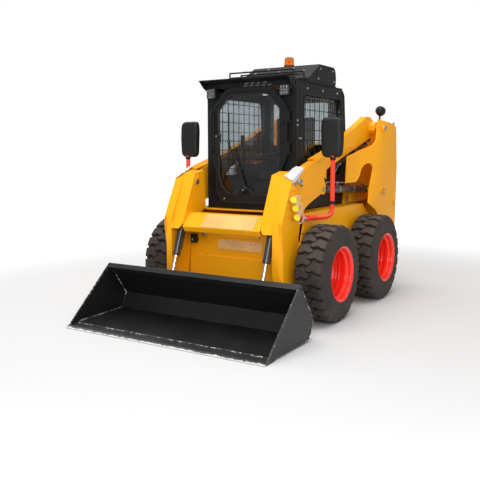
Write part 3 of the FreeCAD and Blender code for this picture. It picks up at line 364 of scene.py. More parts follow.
# %% Rounded panels
MM = 0.001
SAME_PLACE = 2e-5
FLAT_ANGLE, EDGE_ANGLE = math.radians(1.5), math.radians(28)


def piece(name, form, material, body, slot, replaced, sharp=38):
    """A finished mesh object from a bmesh, riding on a body."""
    mesh = bpy.data.meshes.new(name)
    form.to_mesh(mesh)
    form.free()
    mesh.materials.append(material)
    mesh.polygons.foreach_set("use_smooth", [True] * len(mesh.polygons))
    mesh.set_sharp_from_angle(angle=math.radians(sharp))
    made = bpy.data.objects.new(name, mesh)
    bpy.context.scene.collection.objects.link(made)
    made.modifiers.new("even_normals", "WEIGHTED_NORMAL").keep_sharp = True
    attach(made, body)
    if replaced:
        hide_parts(*replaced)
    return made


def eased_solid(name, node, material, slot, width, segments=2):
    """A copy of a node's solid with its edges rounded by a width in millimetres, in its place."""
    form = bmesh.new()
    form.from_mesh(nodes[node].data)
    bmesh.ops.remove_doubles(form, verts=form.verts, dist=SAME_PLACE)
    bmesh.ops.dissolve_limit(form, angle_limit=FLAT_ANGLE, verts=form.verts, edges=form.edges)
    edges = [e for e in form.edges if e.is_manifold and e.calc_face_angle(0) > EDGE_ANGLE]
    bmesh.ops.bevel(form, geom=edges, offset=width * MM, segments=segments, profile=0.55,
                    affect="EDGES", clamp_overlap=True)
    piece(name, form, material, body_of[node], slot, (node,))


PANELS = [
    # node, finish, slot, bevel in mm
    ("chassis_tub", YELLOW, "yellow", 3), ("front_cover", YELLOW, "yellow", 3),
    ("tower_left", YELLOW, "yellow", 3), ("tower_right", YELLOW, "yellow", 3),
    ("lift_arm_left", YELLOW, "yellow", 4), ("lift_arm_right", YELLOW, "yellow", 4),
    ("arm_cross_member", YELLOW, "yellow", 6), ("rear_hood", YELLOW, "yellow", 2.5),
    ("tailgate", YELLOW, "yellow", 4),
    ("bucket_shell", BUCKET_BLACK, "black_paint", 3), ("bucket_carrier", BUCKET_BLACK, "black_paint", 3),
    ("cab_side_left", CAB_BLACK, "cab_black", 3), ("cab_side_right", CAB_BLACK, "cab_black", 3),
    ("cab_front_frame", CAB_BLACK, "cab_black", 3), ("cab_rear_frame", CAB_BLACK, "cab_black", 3),
    ("cab_floor", GREY_PLATE, "cab_black", 2), ("cab_roof", CAB_BLACK, "cab_black", 2),
    ("roof_unit", SHELL_BLACK, "cab_black", 14), ("cab_window_guards", CAB_BLACK, "cab_black", 1.4),
    ("door_frame", CAB_BLACK, "cab_black", 4), ("lap_bar", SHELL_BLACK, "cab_black", 2),
    ("seat_base", SHELL_BLACK, "vinyl", 8), ("control_boxes", SHELL_BLACK, "plastic", 8),
    ("axle_stubs", IRON, "iron", 3), ("engine_block", IRON, "iron", 10),
]
for node, material, slot, width in PANELS:
    eased_solid("panel_" + node, node, material, slot, width)
print(len(PANELS), "rounded panels")

# %% [markdown]
# Most of the small parts were made in one of four ways on the real machine: turned on a lathe, bent
# from tube, cut from plate, or laid down as a weld bead. Each way is one helper here that adds its
# shape to a mesh in progress. Lengths are in millimetres, as on a workshop drawing.

# %% Turned and bent shapes
LEFT, BACK, UP = Vector((1, 0, 0)), Vector((0, 1, 0)), Vector((0, 0, 1))
# How much of an outline's straight part a rounded corner may take, and the sides of a thin bar.
CORNER_SHARE, BAR_SIDES = 0.48, 8


def at(x, behind, up):
    """A point given by its distance to the left, behind the front axle and above the ground."""
    return Vector((x * MM, FRONT + behind * MM, up * MM))


def ring_of(count, whole=False):
    """Angles spread evenly round a circle; a whole one comes back to where it starts."""
    return [2 * math.pi * k / count for k in range(count + whole)]


def circle(form, centre, side, over, radius, steps):
    """A ring of corners in the plane of two directions; the radius is in millimetres."""
    return [form.verts.new(centre + (side * math.cos(a) + over * math.sin(a)) * (radius * MM))
            for a in ring_of(steps)]


def skin(form, rings, closed=False):
    """Joins neighbouring rings of corners with faces; a ring of one corner is a tip."""
    for here, there in list(zip(rings, rings[1:])) + ([(rings[-1], rings[0])] if closed else []):
        for k in range(max(len(here), len(there))):
            n = k + 1
            corners = [here[k % len(here)], here[n % len(here)], there[n % len(there)], there[k % len(there)]]
            corners = list(dict.fromkeys(corners))
            if len(corners) > 2:
                form.faces.new(corners)


def capped(form, rings):
    """Joins rings of corners, closes both ends and returns the two end faces."""
    skin(form, rings)
    return [form.faces.new(rings[0][::-1]), form.faces.new(rings[-1])]


def turned(form, profile, base, along, steps, closed=False):
    """Revolves a profile of (distance along the axis, radius)."""
    along = along.normalized()
    side = along.orthogonal().normalized()
    over = along.cross(side)
    skin(form, [circle(form, base + along * (far * MM), side, over, radius, steps if radius else 1)
                for far, radius in profile], closed)


def corner_arc(back, here, ahead, reach, steps):
    """Points of the curve that rounds one corner; reach is how far from the corner it starts."""
    a, b = back - here, ahead - here
    reach = min(reach, a.length * CORNER_SHARE, b.length * CORNER_SHARE)
    p, q = here + a.normalized() * reach, here + b.normalized() * reach
    return [p.lerp(here, t).lerp(here.lerp(q, t), t) for t in (k / steps for k in range(steps + 1))]


def tube(form, path, radii, sides):
    """A round bar along a line of points, with a radius at each of them."""
    aim = (path[1] - path[0]).normalized()
    side = aim.orthogonal().normalized()
    rings = []
    for i, (spot, radius) in enumerate(zip(path, radii)):
        ahead = path[min(i + 1, len(path) - 1)] - path[max(i - 1, 0)]
        if ahead.length > 1e-9:
            turn = aim.rotation_difference(ahead.normalized())
            side, aim = (turn @ side).normalized(), ahead.normalized()
            rings.append(circle(form, spot, side, aim.cross(side), radius, sides))
    capped(form, rings)


def bent(form, points, radius, bend=40, sides=12):
    """A round bar along a line whose inner corners are rounded to a bend radius."""
    path = [points[0]]
    for back, here, ahead in zip(points, points[1:], points[2:]):
        half_turn = (back - here).angle(ahead - here) / 2
        path += corner_arc(back, here, ahead, bend * MM / max(math.tan(half_turn), 0.05), 6)
    path.append(points[-1])
    tube(form, path, [radius] * len(path), sides)


def bead(form, points, radius, pitch=7.0):
    """A weld: a bar along a line whose radius swells with each pass of the torch."""
    path = []
    for here, ahead in zip(points, points[1:]):
        steps = max(2, int((ahead - here).length / (pitch * MM) * 2))
        path += [here.lerp(ahead, k / steps) for k in range(steps)]
    path.append(points[-1])
    radii = [radius * ((1.0 if i % 2 else 0.86) + 0.10 * noise.noise(spot * 60))
             for i, spot in enumerate(path)]
    tube(form, path, radii, BAR_SIDES)


print("helpers: turned, bent, bead")

# %% [markdown]
# A cut plate is an outline pushed along the axis that its view leaves out. Bolts have a domed
# hexagon head on a washer. What belongs on both sides of the machine is made on the left and
# mirrored, and the helper called shell turns the faces of each new piece outwards.

# %% Cut shapes, bolts and finished pieces
AXES = {"side": (BACK, UP, LEFT), "front": (LEFT, UP, BACK), "plan": (LEFT, BACK, UP)}


def cut(form, view, corners, start, end, round_off):
    """A plate cut to an outline; start and end are its faces along the third axis."""
    u, v, w = AXES[view]
    low, high = ([form.verts.new(at(0, 0, 0) + (u * a + v * b + w * face) * MM) for a, b in corners]
                 for face in (start, end))
    lids = capped(form, [low, high])
    if round_off:
        edges = list({e for f in lids for e in f.edges} | {
            e for vert in low for e in vert.link_edges if e.other_vert(vert) in high})
        bmesh.ops.bevel(form, geom=edges, offset=round_off * MM, segments=2, profile=0.6,
                        affect="EDGES", clamp_overlap=True)


def oblong(a, b):
    """The corners of a rectangle between two pairs of sizes."""
    return [(a[0], b[0]), (a[1], b[0]), (a[1], b[1]), (a[0], b[1])]


def slab(form, x, behind, up, round_off=1.0):
    """A plate or block between pairs of sizes, with its edges eased."""
    cut(form, "front", oblong(x, up), behind[0], behind[1], round_off)


def hex_bolt(form, spot, out, across=19):
    """A hexagon head with a domed top on a washer, pointing outwards."""
    half = across / 2 / math.cos(math.pi / 6)
    turned(form, [(-0.5, 0), (-0.5, half * 1.25), (1.6, half * 1.25), (2.2, half * 1.15), (2.2, 0)], spot,
           out, 20)
    turned(form, [(1.8, 0), (1.8, half), (across * 0.52, half), (across * 0.62, half * 0.86),
                  (across * 0.62, 0)], spot, out, 6)


def bolts(form, spots, out, across):
    """Bolts of one size that all point the same way."""
    for spot in spots:
        hex_bolt(form, spot, out, across)


def mirrored(form):
    """Adds the mirror image of everything in the form on the machine's right."""
    twin = bmesh.ops.duplicate(form, geom=form.verts[:] + form.edges[:] + form.faces[:])["geom"]
    for corner in [g for g in twin if isinstance(g, bmesh.types.BMVert)]:
        corner.co.x = -corner.co.x
    bmesh.ops.reverse_faces(form, faces=[g for g in twin if isinstance(g, bmesh.types.BMFace)])


def shell(name, build, material, body, slot, replaced=(), both=False, sharp=38):
    """Makes one piece from a function that adds its shapes to an empty form."""
    form = bmesh.new()
    build(form)
    bmesh.ops.recalc_face_normals(form, faces=form.faces)
    if both:
        mirrored(form)
    return piece(name, form, material, body, slot, replaced, sharp)


print("helpers: cut, slab, bolts, shell")

# %% [markdown]
# Sheet parts have rounded corners, seals run round an opening, and thin films lie on the metal below
# them. These helpers draw a rounded outline, a closed bar along it, and a draped sheet with a thickness.

# %% Outlines, seals and sheets
def rounded(corners, radius, steps=4):
    """An outline with each of its corners turned into an arc of about the given radius."""
    spots = [Vector((a, b, 0)) for a, b in corners]
    path = []
    for back, here, ahead in zip(spots[-1:] + spots[:-1], spots, spots[1:] + spots[:1]):
        path += corner_arc(back, here, ahead, radius, steps)
    return [(spot.x, spot.y) for spot in path]


def loop_bar(form, points, high, wide=None):
    """A closed bar that follows a ring of points; high and wide are its half sizes in millimetres."""
    wide = wide or high
    middle = sum(points, Vector()) / len(points)
    axis = (points[0] - middle).cross(points[len(points) // 3] - middle).normalized()
    rings = []
    for back, here, ahead in zip(points[-1:] + points[:-1], points, points[1:] + points[:1]):
        if (here - back).length < 1e-6 or (ahead - here).length < 1e-6:
            continue
        line = ((here - back).normalized() + (ahead - here).normalized()).normalized()
        side = line.cross(axis)
        rings.append([form.verts.new(here + side * (math.cos(a) * wide * MM)
                                     + axis * (math.sin(a) * high * MM)) for a in ring_of(BAR_SIDES)])
    skin(form, rings, closed=True)


def drape(form, place, rows, columns, thick):
    """A sheet with a thickness in millimetres; place(u, v) gives its points for u and v from 0 to 1."""
    grid = [[place(i / rows, j / columns) for j in range(columns + 1)] for i in range(rows + 1)]
    strips = []
    for i, row in enumerate(grid):
        low, high = [], []
        for j, spot in enumerate(row):
            along = grid[min(i + 1, rows)][j] - grid[max(i - 1, 0)][j]
            over = row[min(j + 1, columns)] - row[max(j - 1, 0)]
            low.append(form.verts.new(spot))
            high.append(form.verts.new(spot + along.cross(over).normalized() * (thick * MM)))
        strips.append(low + high[::-1])
    capped(form, strips)


print("helpers: rounded, loop_bar, drape")


# %% [markdown]
# The tyre is the deep-lugged kind that such loaders wear. Its carcass is turned from half a section,
# with the flat tread, the round shoulder, the bulging wall and the rib that guards the rim. Each lug
# is a loft of fourteen cross sections: it starts narrow past the middle of the tread, waves towards
# the shoulder, and runs over it and out on the wall. Lugs alternate from side to side.

# %% Tyres
HALF_CARCASS = [
    # x from the middle, radius
    (113, 206), (118, 209), (122, 214), (126, 220), (129, 227), (130.6, 233), (131, 238),
    (128, 241.5), (126, 246), (126.5, 252), (129.5, 264), (131, 274), (128.2, 276.5),
    (127.8, 281), (130.4, 284), (129.8, 300), (128, 311), (124.8, 313), (123.8, 317),
    (125.4, 320), (123, 331), (119.5, 341), (115, 350), (108, 357), (100, 355), (92, 357),
    (60, 357.5), (0, 358.5),
]
INNER_EDGE, INNER_RADIUS = 108, 204.5
LUG_STATIONS = [
    # foot x and radius, top x and radius, middle across the lug, half width
    (-22, 352, -17, 384.0, -18, 8), (-8, 352, -7, 386.2, -17, 15), (4, 352, 4, 386.4, -15, 21),
    (18, 352, 18, 386.4, -9, 25), (28, 352, 28, 386.4, 1, 31), (40, 352, 40, 386.4, 6, 33),
    (52, 352, 52, 386.4, 7, 33.5), (62, 352, 62, 386.4, 2, 35), (74, 350, 75, 386.3, -4, 36.5),
    (86, 348, 90, 385.6, -6, 37), (96, 345, 103, 382.5, -7, 36.5), (102, 342, 111, 376, -7, 35),
    (107, 338, 116.5, 366, -7, 32), (112, 334, 120.5, 354, -7, 27),
]
# Share of the lug's height, and how far its wall stands out there.
LUG_WALL = ((0, 3.5), (0.55, 1.8), (0.93, 0.4), (1, -2.2))
LUGS_ASIDE = 24


def lug(form, turn, hand):
    """One lug; hand is 1 for the outer side and -1 for the inner."""
    rings = []
    for foot_x, foot_r, top_x, top_r, middle, half in LUG_STATIONS:
        section = [(share, half + wide) for share, wide in LUG_WALL]
        section += [(share, -half - wide) for share, wide in LUG_WALL[::-1]]
        spots = [Vector((hand * (foot_x + (top_x - foot_x) * share), middle + aside,
                         foot_r + (top_r - foot_r) * share)) for share, aside in section]
        rings.append([form.verts.new(Matrix.Rotation(turn, 3, "X") @ spot * MM) for spot in spots])
    capped(form, rings)


def tyre(form):
    profile = HALF_CARCASS + [(-x, r) for x, r in HALF_CARCASS[-2::-1]]
    profile += [(-INNER_EDGE, INNER_RADIUS), (INNER_EDGE, INNER_RADIUS)]
    turned(form, profile, Vector(), LEFT, steps=96, closed=True)
    for k in range(LUGS_ASIDE):
        lug(form, 2 * math.pi * k / LUGS_ASIDE, 1)
        lug(form, 2 * math.pi * (k + 0.5) / LUGS_ASIDE, -1)


WHEELS = [
    # name, side of the machine, metres behind the front axle, turn of the rim in degrees
    ("front_left", 1, 0.0, 14), ("front_right", -1, 0.0, -20),
    ("rear_left", 1, 1.0, 47), ("rear_right", -1, 1.0, 5),
]
WHEEL_OUT, AXLE_HIGH = 0.732, 0.3865


def wheel_piece(kind, build, material, slot, spun=True, replace=True):
    """One piece per wheel; the right wheels carry the mirror image of the left ones."""
    form = bmesh.new()
    build(form)
    bmesh.ops.recalc_face_normals(form, faces=form.faces)
    for name, hand, back, turn in WHEELS:
        copy = form.copy()
        if hand < 0:
            bmesh.ops.scale(copy, vec=(-1, 1, 1), verts=copy.verts)
            bmesh.ops.reverse_faces(copy, faces=copy.faces)
        if spun:
            bmesh.ops.rotate(copy, verts=copy.verts, cent=(0, 0, 0),
                             matrix=Matrix.Rotation(math.radians(turn), 3, "X"))
        bmesh.ops.translate(copy, verts=copy.verts, vec=(hand * WHEEL_OUT, FRONT + back, AXLE_HIGH))
        replaced = ("%s_%s" % (kind.split("_")[0], name),) if replace else ()
        piece("%s_%s" % (kind, name), copy, material, "wheel_" + name, slot, replaced)
    form.free()


wheel_piece("tyre_lugged", tyre, RUBBER, "tyre", spun=False)
print("four tyres,", 2 * LUGS_ASIDE, "lugs on each")

# %% [markdown]
# The rim is one pressed and welded steel wheel, turned from its section. Seen from outside it is a
# deep dish: a rolled flange, the bead seat, the drop of the well, and far in behind it a flat disc
# with a raised ring and the axle's hub. Eight coned nuts on studs hold the disc, and the valve stem
# stands up through it. All of it but the valve is sprayed the same red, and the ring of nuts is a
# piece of its own.

# %% Rims
RIM_RING = [
    (116, 203.5), (122, 206), (127, 210), (130, 215), (131.6, 219), (131.2, 221), (129, 220.6),
    (127, 216), (123.5, 208), (118, 201.5), (110, 199.5), (92, 198.5), (87, 196), (81, 187),
    (75, 184.5), (58, 184), (52, 187), (47, 193), (40, 195.5), (22, 196), (16, 194), (10, 191.5),
    (4, 193), (-2, 197), (-6, 199), (-9, 198), (-11, 193), (-10, 186), (-9.5, 128), (-6, 122),
    (-3, 118), (-3, 84), (-6, 78), (-9, 74), (-9, 64), (-6, 60), (16, 58), (32, 57), (38, 54),
    (40, 48), (40, 34), (-60, 34), (-66, 44), (-66, 60), (-24, 70), (-22, 196), (-30, 200),
    (-110, 201), (-122, 208), (-129, 218), (-131.6, 219), (-131, 222), (-127, 217), (-120, 206),
    (-116, 203.5),
]
NUTS, NUT_CIRCLE = 8, 101.5
DISC_WELD, VALVE_OUT = 189, 176


def on_wheel(x, radius, angle=0.0):
    """A point of the wheel at its middle, before it is moved to its axle."""
    return Vector((x * MM, radius * MM * math.sin(angle), radius * MM * math.cos(angle)))


def rim(form):
    turned(form, RIM_RING, Vector(), LEFT, steps=80, closed=True)
    bead(form, [on_wheel(-8.5, DISC_WELD, a) for a in ring_of(64, whole=True)], 4.0, 9.0)
    turned(form, [(39.5, 0), (39.5, 33), (43, 32), (45, 27), (45, 0)], Vector(), LEFT, 40)


def rim_fittings(form):
    for k in range(NUTS):
        spot = on_wheel(-3, NUT_CIRCLE, math.radians(360 / NUTS * (k + 0.5)))
        turned(form, [(-1, 0), (-1, 16.5), (2, 16.5), (5, 14)], spot, LEFT, 24)
        turned(form, [(2, 0), (2, 13.3), (18, 13.3), (20, 11.5), (20, 0)], spot, LEFT, 6)
        turned(form, [(18, 0), (18, 7.5), (27, 7.5), (28.5, 6), (28.5, 0)], spot, LEFT, 16)


def valve(form):
    bent(form, [on_wheel(-12, VALVE_OUT), on_wheel(4, VALVE_OUT), on_wheel(30, VALVE_OUT - 6)], 3.6, 20, 10)
    turned(form, [(-8, 0), (-8, 8), (0, 7), (6, 4.4), (6, 0)], on_wheel(-2, VALVE_OUT), LEFT, 20)
    turned(form, [(0, 0), (0, 4.6), (9, 4.4), (10, 3), (10, 0)], on_wheel(28, VALVE_OUT - 5.5),
           Vector((1, 0, -0.23)), 12)


wheel_piece("rim_dished", rim, RIM_RED, "rim_red")
wheel_piece("nuts", rim_fittings, RIM_RED, "rim_red", replace=False)
wheel_piece("valve", valve, SEAL, "tyre", replace=False)
print("four rims with", NUTS, "nuts each")

# %% [markdown]
# The bucket is welded from plate, and its weld lines stayed bright where the paint rubbed off. The
# lip scrapes along the ground, so it is bare and scratched at the very front and black behind, and
# the slanted front edges of the two side plates are scuffed as well. The scuffs are one more shader
# group: a mask that grows towards the front edge, broken up by noise.

# %% Bucket welds, edges and lifting eyes
scuff, given, result = node_group(
    "scuff", [("Front", "Float", -1.559), ("Deep", "Float", 0.03), ("Amount", "Float", 0.5)],
    [("Mask", "Float", None)])
tree = scuff
place = add(tree, "TexCoord")
split = add(tree, "SeparateXYZ", i_Vector=place.outputs["Object"])
broken = add(tree, "TexNoise", i_Scale=34.0, i_Detail=8.0, i_Roughness=0.78, i_Vector=place.outputs["Object"])
reach = maths(tree, "DIVIDE", maths(tree, "SUBTRACT", split.outputs["Y"], given["Front"]), given["Deep"])
edge = maths(tree, "SUBTRACT", 1.0, reach, clamp=True)
overall = maths(tree, "MULTIPLY", given["Amount"], 0.2)
level = maths(tree, "ADD", maths(tree, "MULTIPLY", edge, 0.30), overall)
scratched = maths(tree, "SUBTRACT", maths(tree, "ADD", broken.outputs["Fac"], level), 0.68)
tree.links.new(maths(tree, "MULTIPLY", scratched, 14.0, clamp=True), result["Mask"])


def scuffed(name, front, deep, amount):
    """Black paint scraped to pale metal near a front edge."""
    material = finish(name, (0.016, 0.017, 0.018), 0.42, dust=0.05, low=0.3, wear=0.3, mottle=0.4,
                      pores=(120.0, 1.2, 0.25), dust_tint=(0.10, 0.095, 0.088), shine=0.4)
    tree = material.node_tree
    shader = tree.nodes["Principled BSDF"]
    paint = shader.inputs["Base Color"].links[0].from_socket
    marks = tree.nodes.new("ShaderNodeGroup")
    marks.node_tree = scuff
    for label, value in (("Front", front), ("Deep", deep), ("Amount", amount)):
        marks.inputs[label].default_value = value
    scraped = add(tree, "RGB")
    scraped.outputs[0].default_value = (0.66, 0.66, 0.63, 1)
    tree.links.new(mix(tree, marks.outputs["Mask"], paint, scraped.outputs[0]), shader.inputs["Base Color"])
    return material


LIP = scuffed("scraped_lip", -1.559, 0.026, 0.16)
EDGES = scuffed("scraped_edges", -1.6, 0.05, 0.60)
WELD = scuffed("worn_weld", -1.50, 0.05, 0.85)
EYE_PLACE = (-812, 392)


def lip(form):
    cut(form, "side", [(-1278, 1.5), (-1262, 0), (-1146, 0), (-1146, 14), (-1250, 14), (-1276, 5)], -887.5,
        887.5, 0.8)


def bucket_welds(form):
    for side in (-1, 1):
        x = side * 875.5
        bead(form, [at(x, -1150, 27), at(x, -643, 39), at(x, -594, 159), at(x, -790, 430)], 4.2)
        bead(form, [at(side * 888, -640, 26), at(side * 888, -582, 156), at(side * 888, -784, 434)], 3.0)
    bead(form, [at(-872, -1160, 17), at(872, -1160, 17)], 4.6)


def scuffed_edges(form):
    # ahead and up are the slope of the slanted edge between its low and high ends.
    ahead, up = 0.7348, 0.6784
    low, high = (-1246, 15), (-820, 409)
    for side in (-1, 1):
        corners = [(low[0] - up * 0.7, low[1] + ahead * 0.7), (high[0] - up * 0.7, high[1] + ahead * 0.7),
                   (high[0] + up * 8, high[1] - ahead * 8), (low[0] + up * 8 + 6, low[1] - ahead * 6 + 5)]
        cut(form, "side", corners, side * 877, side * 888, 0.5)


def lifting_eyes(form):
    for side in (-1, 1):
        for face in (888.2, 876.8):
            turned(form, [(-0.8, 10), (-0.8, 17), (0.8, 16), (0.8, 10)], at(side * face, *EYE_PLACE), LEFT,
                   28, closed=True)
        turned(form, [(-5.4, 0), (-5.4, 10.4), (5.4, 10.4), (5.4, 0)], at(side * 882.5, *EYE_PLACE), LEFT, 24)


shell("lip_plate", lip, LIP, "bucket", "black_paint", ("cutting_edge",))
shell("bucket_welds", bucket_welds, WELD, "bucket", "black_paint")
shell("bucket_side_edges", scuffed_edges, EDGES, "bucket", "black_paint")
shell("bucket_eyes", lifting_eyes, EDGES, "bucket", "black_paint")
print("lip, welds and edges of the bucket")

# %% [markdown]
# Four hydraulic cylinders move the arms and the bucket. A barrel is a honed tube closed by a welded
# base with an eye, and by a screwed gland that guides the rod; the rod is chromed and ends in an eye
# of its own. Barrel and rod ride on separate bodies, because the rod slides in and out, so the barrel
# is turned with a real bore and the rod runs inside it.

# %% Cylinders
CYLINDERS = [
    # name, left, base pin, rod eye, barrel length and radius, rod radius and start, side of the ports
    ("lift", 505, (1345, 988), (267, 1038), 960, 36, 20, 100, (0, 0, 1)),
    ("tilt", 431, (-250, 1100), (-540, 300), 641, 30, 16, 190, (0, 1, 0.36)),
]
# How far in from both ends of a barrel its ports lie, and at which shares of the way clamps sit.
PORT_IN, PIPE_CLAMPS = 58, (0.33, 0.72)


def eye(form, spot):
    half, edge, outer, bore = 26, 23, 34, 16.3
    turned(form, [(-half, bore), (-half, outer - 3), (-edge, outer), (edge, outer), (half, outer - 3),
                  (half, bore)], spot, LEFT, 40, closed=True)


def barrel_tube(form, foot, line, out, long, wide, rod_wide):
    # The bored tube with its gland, the eye welded to its foot, and a boss for each port.
    turned(form, [(21, rod_wide + 1.2), (21, wide - 4), (25, wide), (long - 36, wide),
                  (long - 35, wide + 2.5), (long - 8, wide + 2.5), (long - 5, wide + 1), (long - 5, wide - 5),
                  (long, wide - 6), (long, rod_wide + 5), (long - 4, rod_wide + 1.2)], foot, line, 48,
           closed=True)
    turned(form, [(18, 0), (18, rod_wide + 4), (30, rod_wide + 4), (30, 0)], foot, line, 32)
    eye(form, foot)
    around = line.cross(out)
    bead(form, [foot + line * ((24 if k % 2 else 25) * MM)
                + (out * math.cos(a) + around * math.sin(a)) * ((wide - 1) * MM)
                for k, a in enumerate(ring_of(36, whole=True))], 3.2, 6.0)
    for far in (PORT_IN, long - PORT_IN):
        turned(form, [(wide - 5, 0), (wide - 5, 15), (wide + 4, 15), (wide + 8, 12), (wide + 8, 0)],
               foot + line * (far * MM), out, 24)


def rod_bar(form, foot, line, full, start, rod_wide):
    turned(form, [(start, 0), (start, rod_wide - 1.5), (start + 3, rod_wide), (full - 36, rod_wide),
                  (full - 36, 0)], foot, line, 40)


def rod_end(form, foot, tip, line, full, rod_wide):
    turned(form, [(full - 66, rod_wide + 0.5), (full - 62, rod_wide + 5), (full - 40, rod_wide + 7),
                  (full - 28, rod_wide + 7), (full - 28, 0), (full - 66, 0)], foot, line, 32)
    eye(form, tip)


def port_pipes(form, foot, line, out, long, wide):
    # Steel fittings at both ports, and one pipe clamped along the barrel.
    near, far = foot + line * (PORT_IN * MM), foot + line * ((long - PORT_IN) * MM)
    for spot in (near, far):
        turned(form, [(wide + 7, 0), (wide + 7, 9.5), (wide + 17, 9.5), (wide + 18, 7), (wide + 18, 0)],
               spot, out, 6)
    aside = out * ((wide + 22) * MM)
    bent(form, [far + out * ((wide + 12) * MM), far + aside, near + aside + line * (66 * MM),
                near + aside + line * (40 * MM) + out * (2 * MM)], 6.5, 12)
    for share in PIPE_CLAMPS:
        spot = near.lerp(far, share)
        turned(form, [(-9, wide + 0.2), (-9, wide + 2.4), (9, wide + 2.4), (9, wide + 0.2)],
               spot, line, 40, closed=True)
        turned(form, [(-7, 6.6), (-7, 10), (7, 10), (7, 6.6)], spot + aside, line, 20, closed=True)
        turned(form, [(wide, 0), (wide, 5), (wide + 16, 5), (wide + 16, 0)], spot, out, 12)


for name, x, base, eye_at, long, wide, rod_wide, start, ports in CYLINDERS:
    for side, hand in (("left", 1), ("right", -1)):
        foot, tip = at(hand * x, *base), at(hand * x, *eye_at)
        line = (tip - foot).normalized()
        full = (tip - foot).length / MM
        out = Vector(ports)
        out = (out - line * out.dot(line)).normalized()
        barrel, rod = "%s_barrel_%s" % (name, side), "%s_rod_%s" % (name, side)
        shell("%s_barrel_tube_%s" % (name, side),
              lambda form: barrel_tube(form, foot, line, out, long, wide, rod_wide),
              PIPE_BLACK, barrel, "cab_black", (barrel,))
        shell("%s_rod_chrome_%s" % (name, side),
              lambda form: rod_bar(form, foot, line, full, start, rod_wide), CHROME, rod, "chrome", (rod,))
        shell("%s_rod_end_%s" % (name, side),
              lambda form: rod_end(form, foot, tip, line, full, rod_wide), PIPE_BLACK, rod, "cab_black")
        shell("%s_pipe_%s" % (name, side), lambda form: port_pipes(form, foot, line, out, long, wide),
              ZINC if name == "lift" else PIPE_BLACK, barrel, "iron")
print("four cylinders with ports and pipes")

# %% [markdown]
# The auxiliary circuit ends in three quick couplers on the left knee, each under a rubber dust cap
# that hangs on a wire loop. Each coupler is a stack of turned rings on a bulkhead bracket. A larger
# fitting with a bright face sits above them, and steel pipes lead on along the arm to the tower.

# %% Couplers
COUPLER_OUT = Vector((0.80, -0.56, 0.20))
COUPLER_FEET = [at(574, behind, up) for behind, up in ((-332, 978), (-300, 912), (-274, 841))]


def coupler_bodies(form):
    for foot in COUPLER_FEET:
        turned(form, [(-12, 0), (-12, 15), (8, 15), (9, 13), (14, 13), (15, 17), (24, 17), (25, 14), (28, 14),
                      (28, 0)], foot, COUPLER_OUT, 28)
    turned(form, [(-8, 0), (-8, 17), (12, 17), (13, 20), (26, 20), (28, 17), (28, 8), (22, 6), (22, 0)],
           at(570, -190, 1118), COUPLER_OUT, 28)
    turned(form, [(0, 0), (0, 11), (22, 11), (22, 0)], at(572, -168, 1086), Vector((1, -0.2, 0)), 6)


def coupler_caps(form):
    for foot in COUPLER_FEET:
        turned(form, [(25, 0), (25, 21), (27, 24.5), (35, 24.5), (36, 23), (38, 23), (39.5, 25.5), (47, 25.5),
                      (50, 22), (51, 12), (50, 0)], foot, COUPLER_OUT, 32)
    turned(form, [(-3, 0), (-3, 9), (3, 9), (3, 0)], at(585, -150, 1078), Vector((0.9, -0.4, 0)), 20)


def coupler_rings(form):
    for foot in COUPLER_FEET:
        turned(form, [(17, 15), (17, 20), (23, 20), (23, 15)], foot, COUPLER_OUT, 28, closed=True)


def tethers(form):
    # Two strands of wire swing round each cap, and a thicker one leads up from it to the bracket.
    for k, foot in enumerate(COUPLER_FEET):
        cap = foot + COUPLER_OUT.normalized() * (38 * MM)
        for strand in (0.0, 0.5):
            swing = [cap + Vector((0.012 + 0.010 * math.sin(2.1 * a + k),
                                   0.039 * (1 - math.cos(a)) + 0.006 * strand,
                                   -0.034 * math.sin(a + strand) - 0.010 * k * math.sin(a)))
                     for a in ring_of(16, whole=True)]
            bent(form, swing, 1.6, 8, 8)
        lead = ((0.008, 0.016, 0.004), (0.016, 0.040, 0.030), (0.008, 0.074, 0.024), (-0.002, 0.088, -0.012))
        bent(form, [cap + Vector(step) for step in lead], 2.0, 16, 8)


def coupler_bracket(form):
    cut(form, "side", [(-312, 1000), (-250, 1054), (-214, 1050), (-206, 990), (-228, 834), (-262, 826),
                       (-290, 880)], 560.4, 566.4, 1.5)
    bolts(form, [at(566.4, -232, 1036), at(566.4, -226, 862)], LEFT, 13)


shell("coupler_bodies", coupler_bodies, ZINC, "arms", "iron", ("aux_couplers",))
shell("coupler_bracket", coupler_bracket, YELLOW, "arms", "yellow")
shell("coupler_caps", coupler_caps, CAP_YELLOW, "arms", "cap_yellow")
shell("coupler_rings", coupler_rings, LAMP_RED, "arms", "lamp_red")
WIRE = finish("tether_wire", (0.62, 0.60, 0.50), 0.35, dust=0.1, pores=(300.0, 0.2, 0.05))
shell("coupler_tethers", tethers, WIRE, "arms", "iron")
print(len(COUPLER_FEET), "couplers with caps")

# %% [markdown]
# Two steel pipes run along each arm. Clamps that are bolted from below hold them at three places,
# and a swivel nut stands near both ends of the straight part.

# %% Arm pipes
# How far left each pipe runs, and how far it hangs below the line of the two points.
ARM_PIPES = ((512, 16), (528, 22))
PIPE_START, PIPE_END = (640, 1252), (1372, 1460)


def arm_pipes(form):
    for x, drop in ARM_PIPES:
        line = ((588, 1190), PIPE_START, PIPE_END, (1420, 1500))
        bent(form, [at(x, behind, up - drop) for behind, up in line], 7.5, 60, 14)
    for behind, up in ((700, 1255), (1010, 1343), (1290, 1422)):
        slab(form, (500, 540), (behind - 11, behind + 11), (up - 8, up + 24), 3)
        hex_bolt(form, at(520, behind, up - 8), -UP, 13)


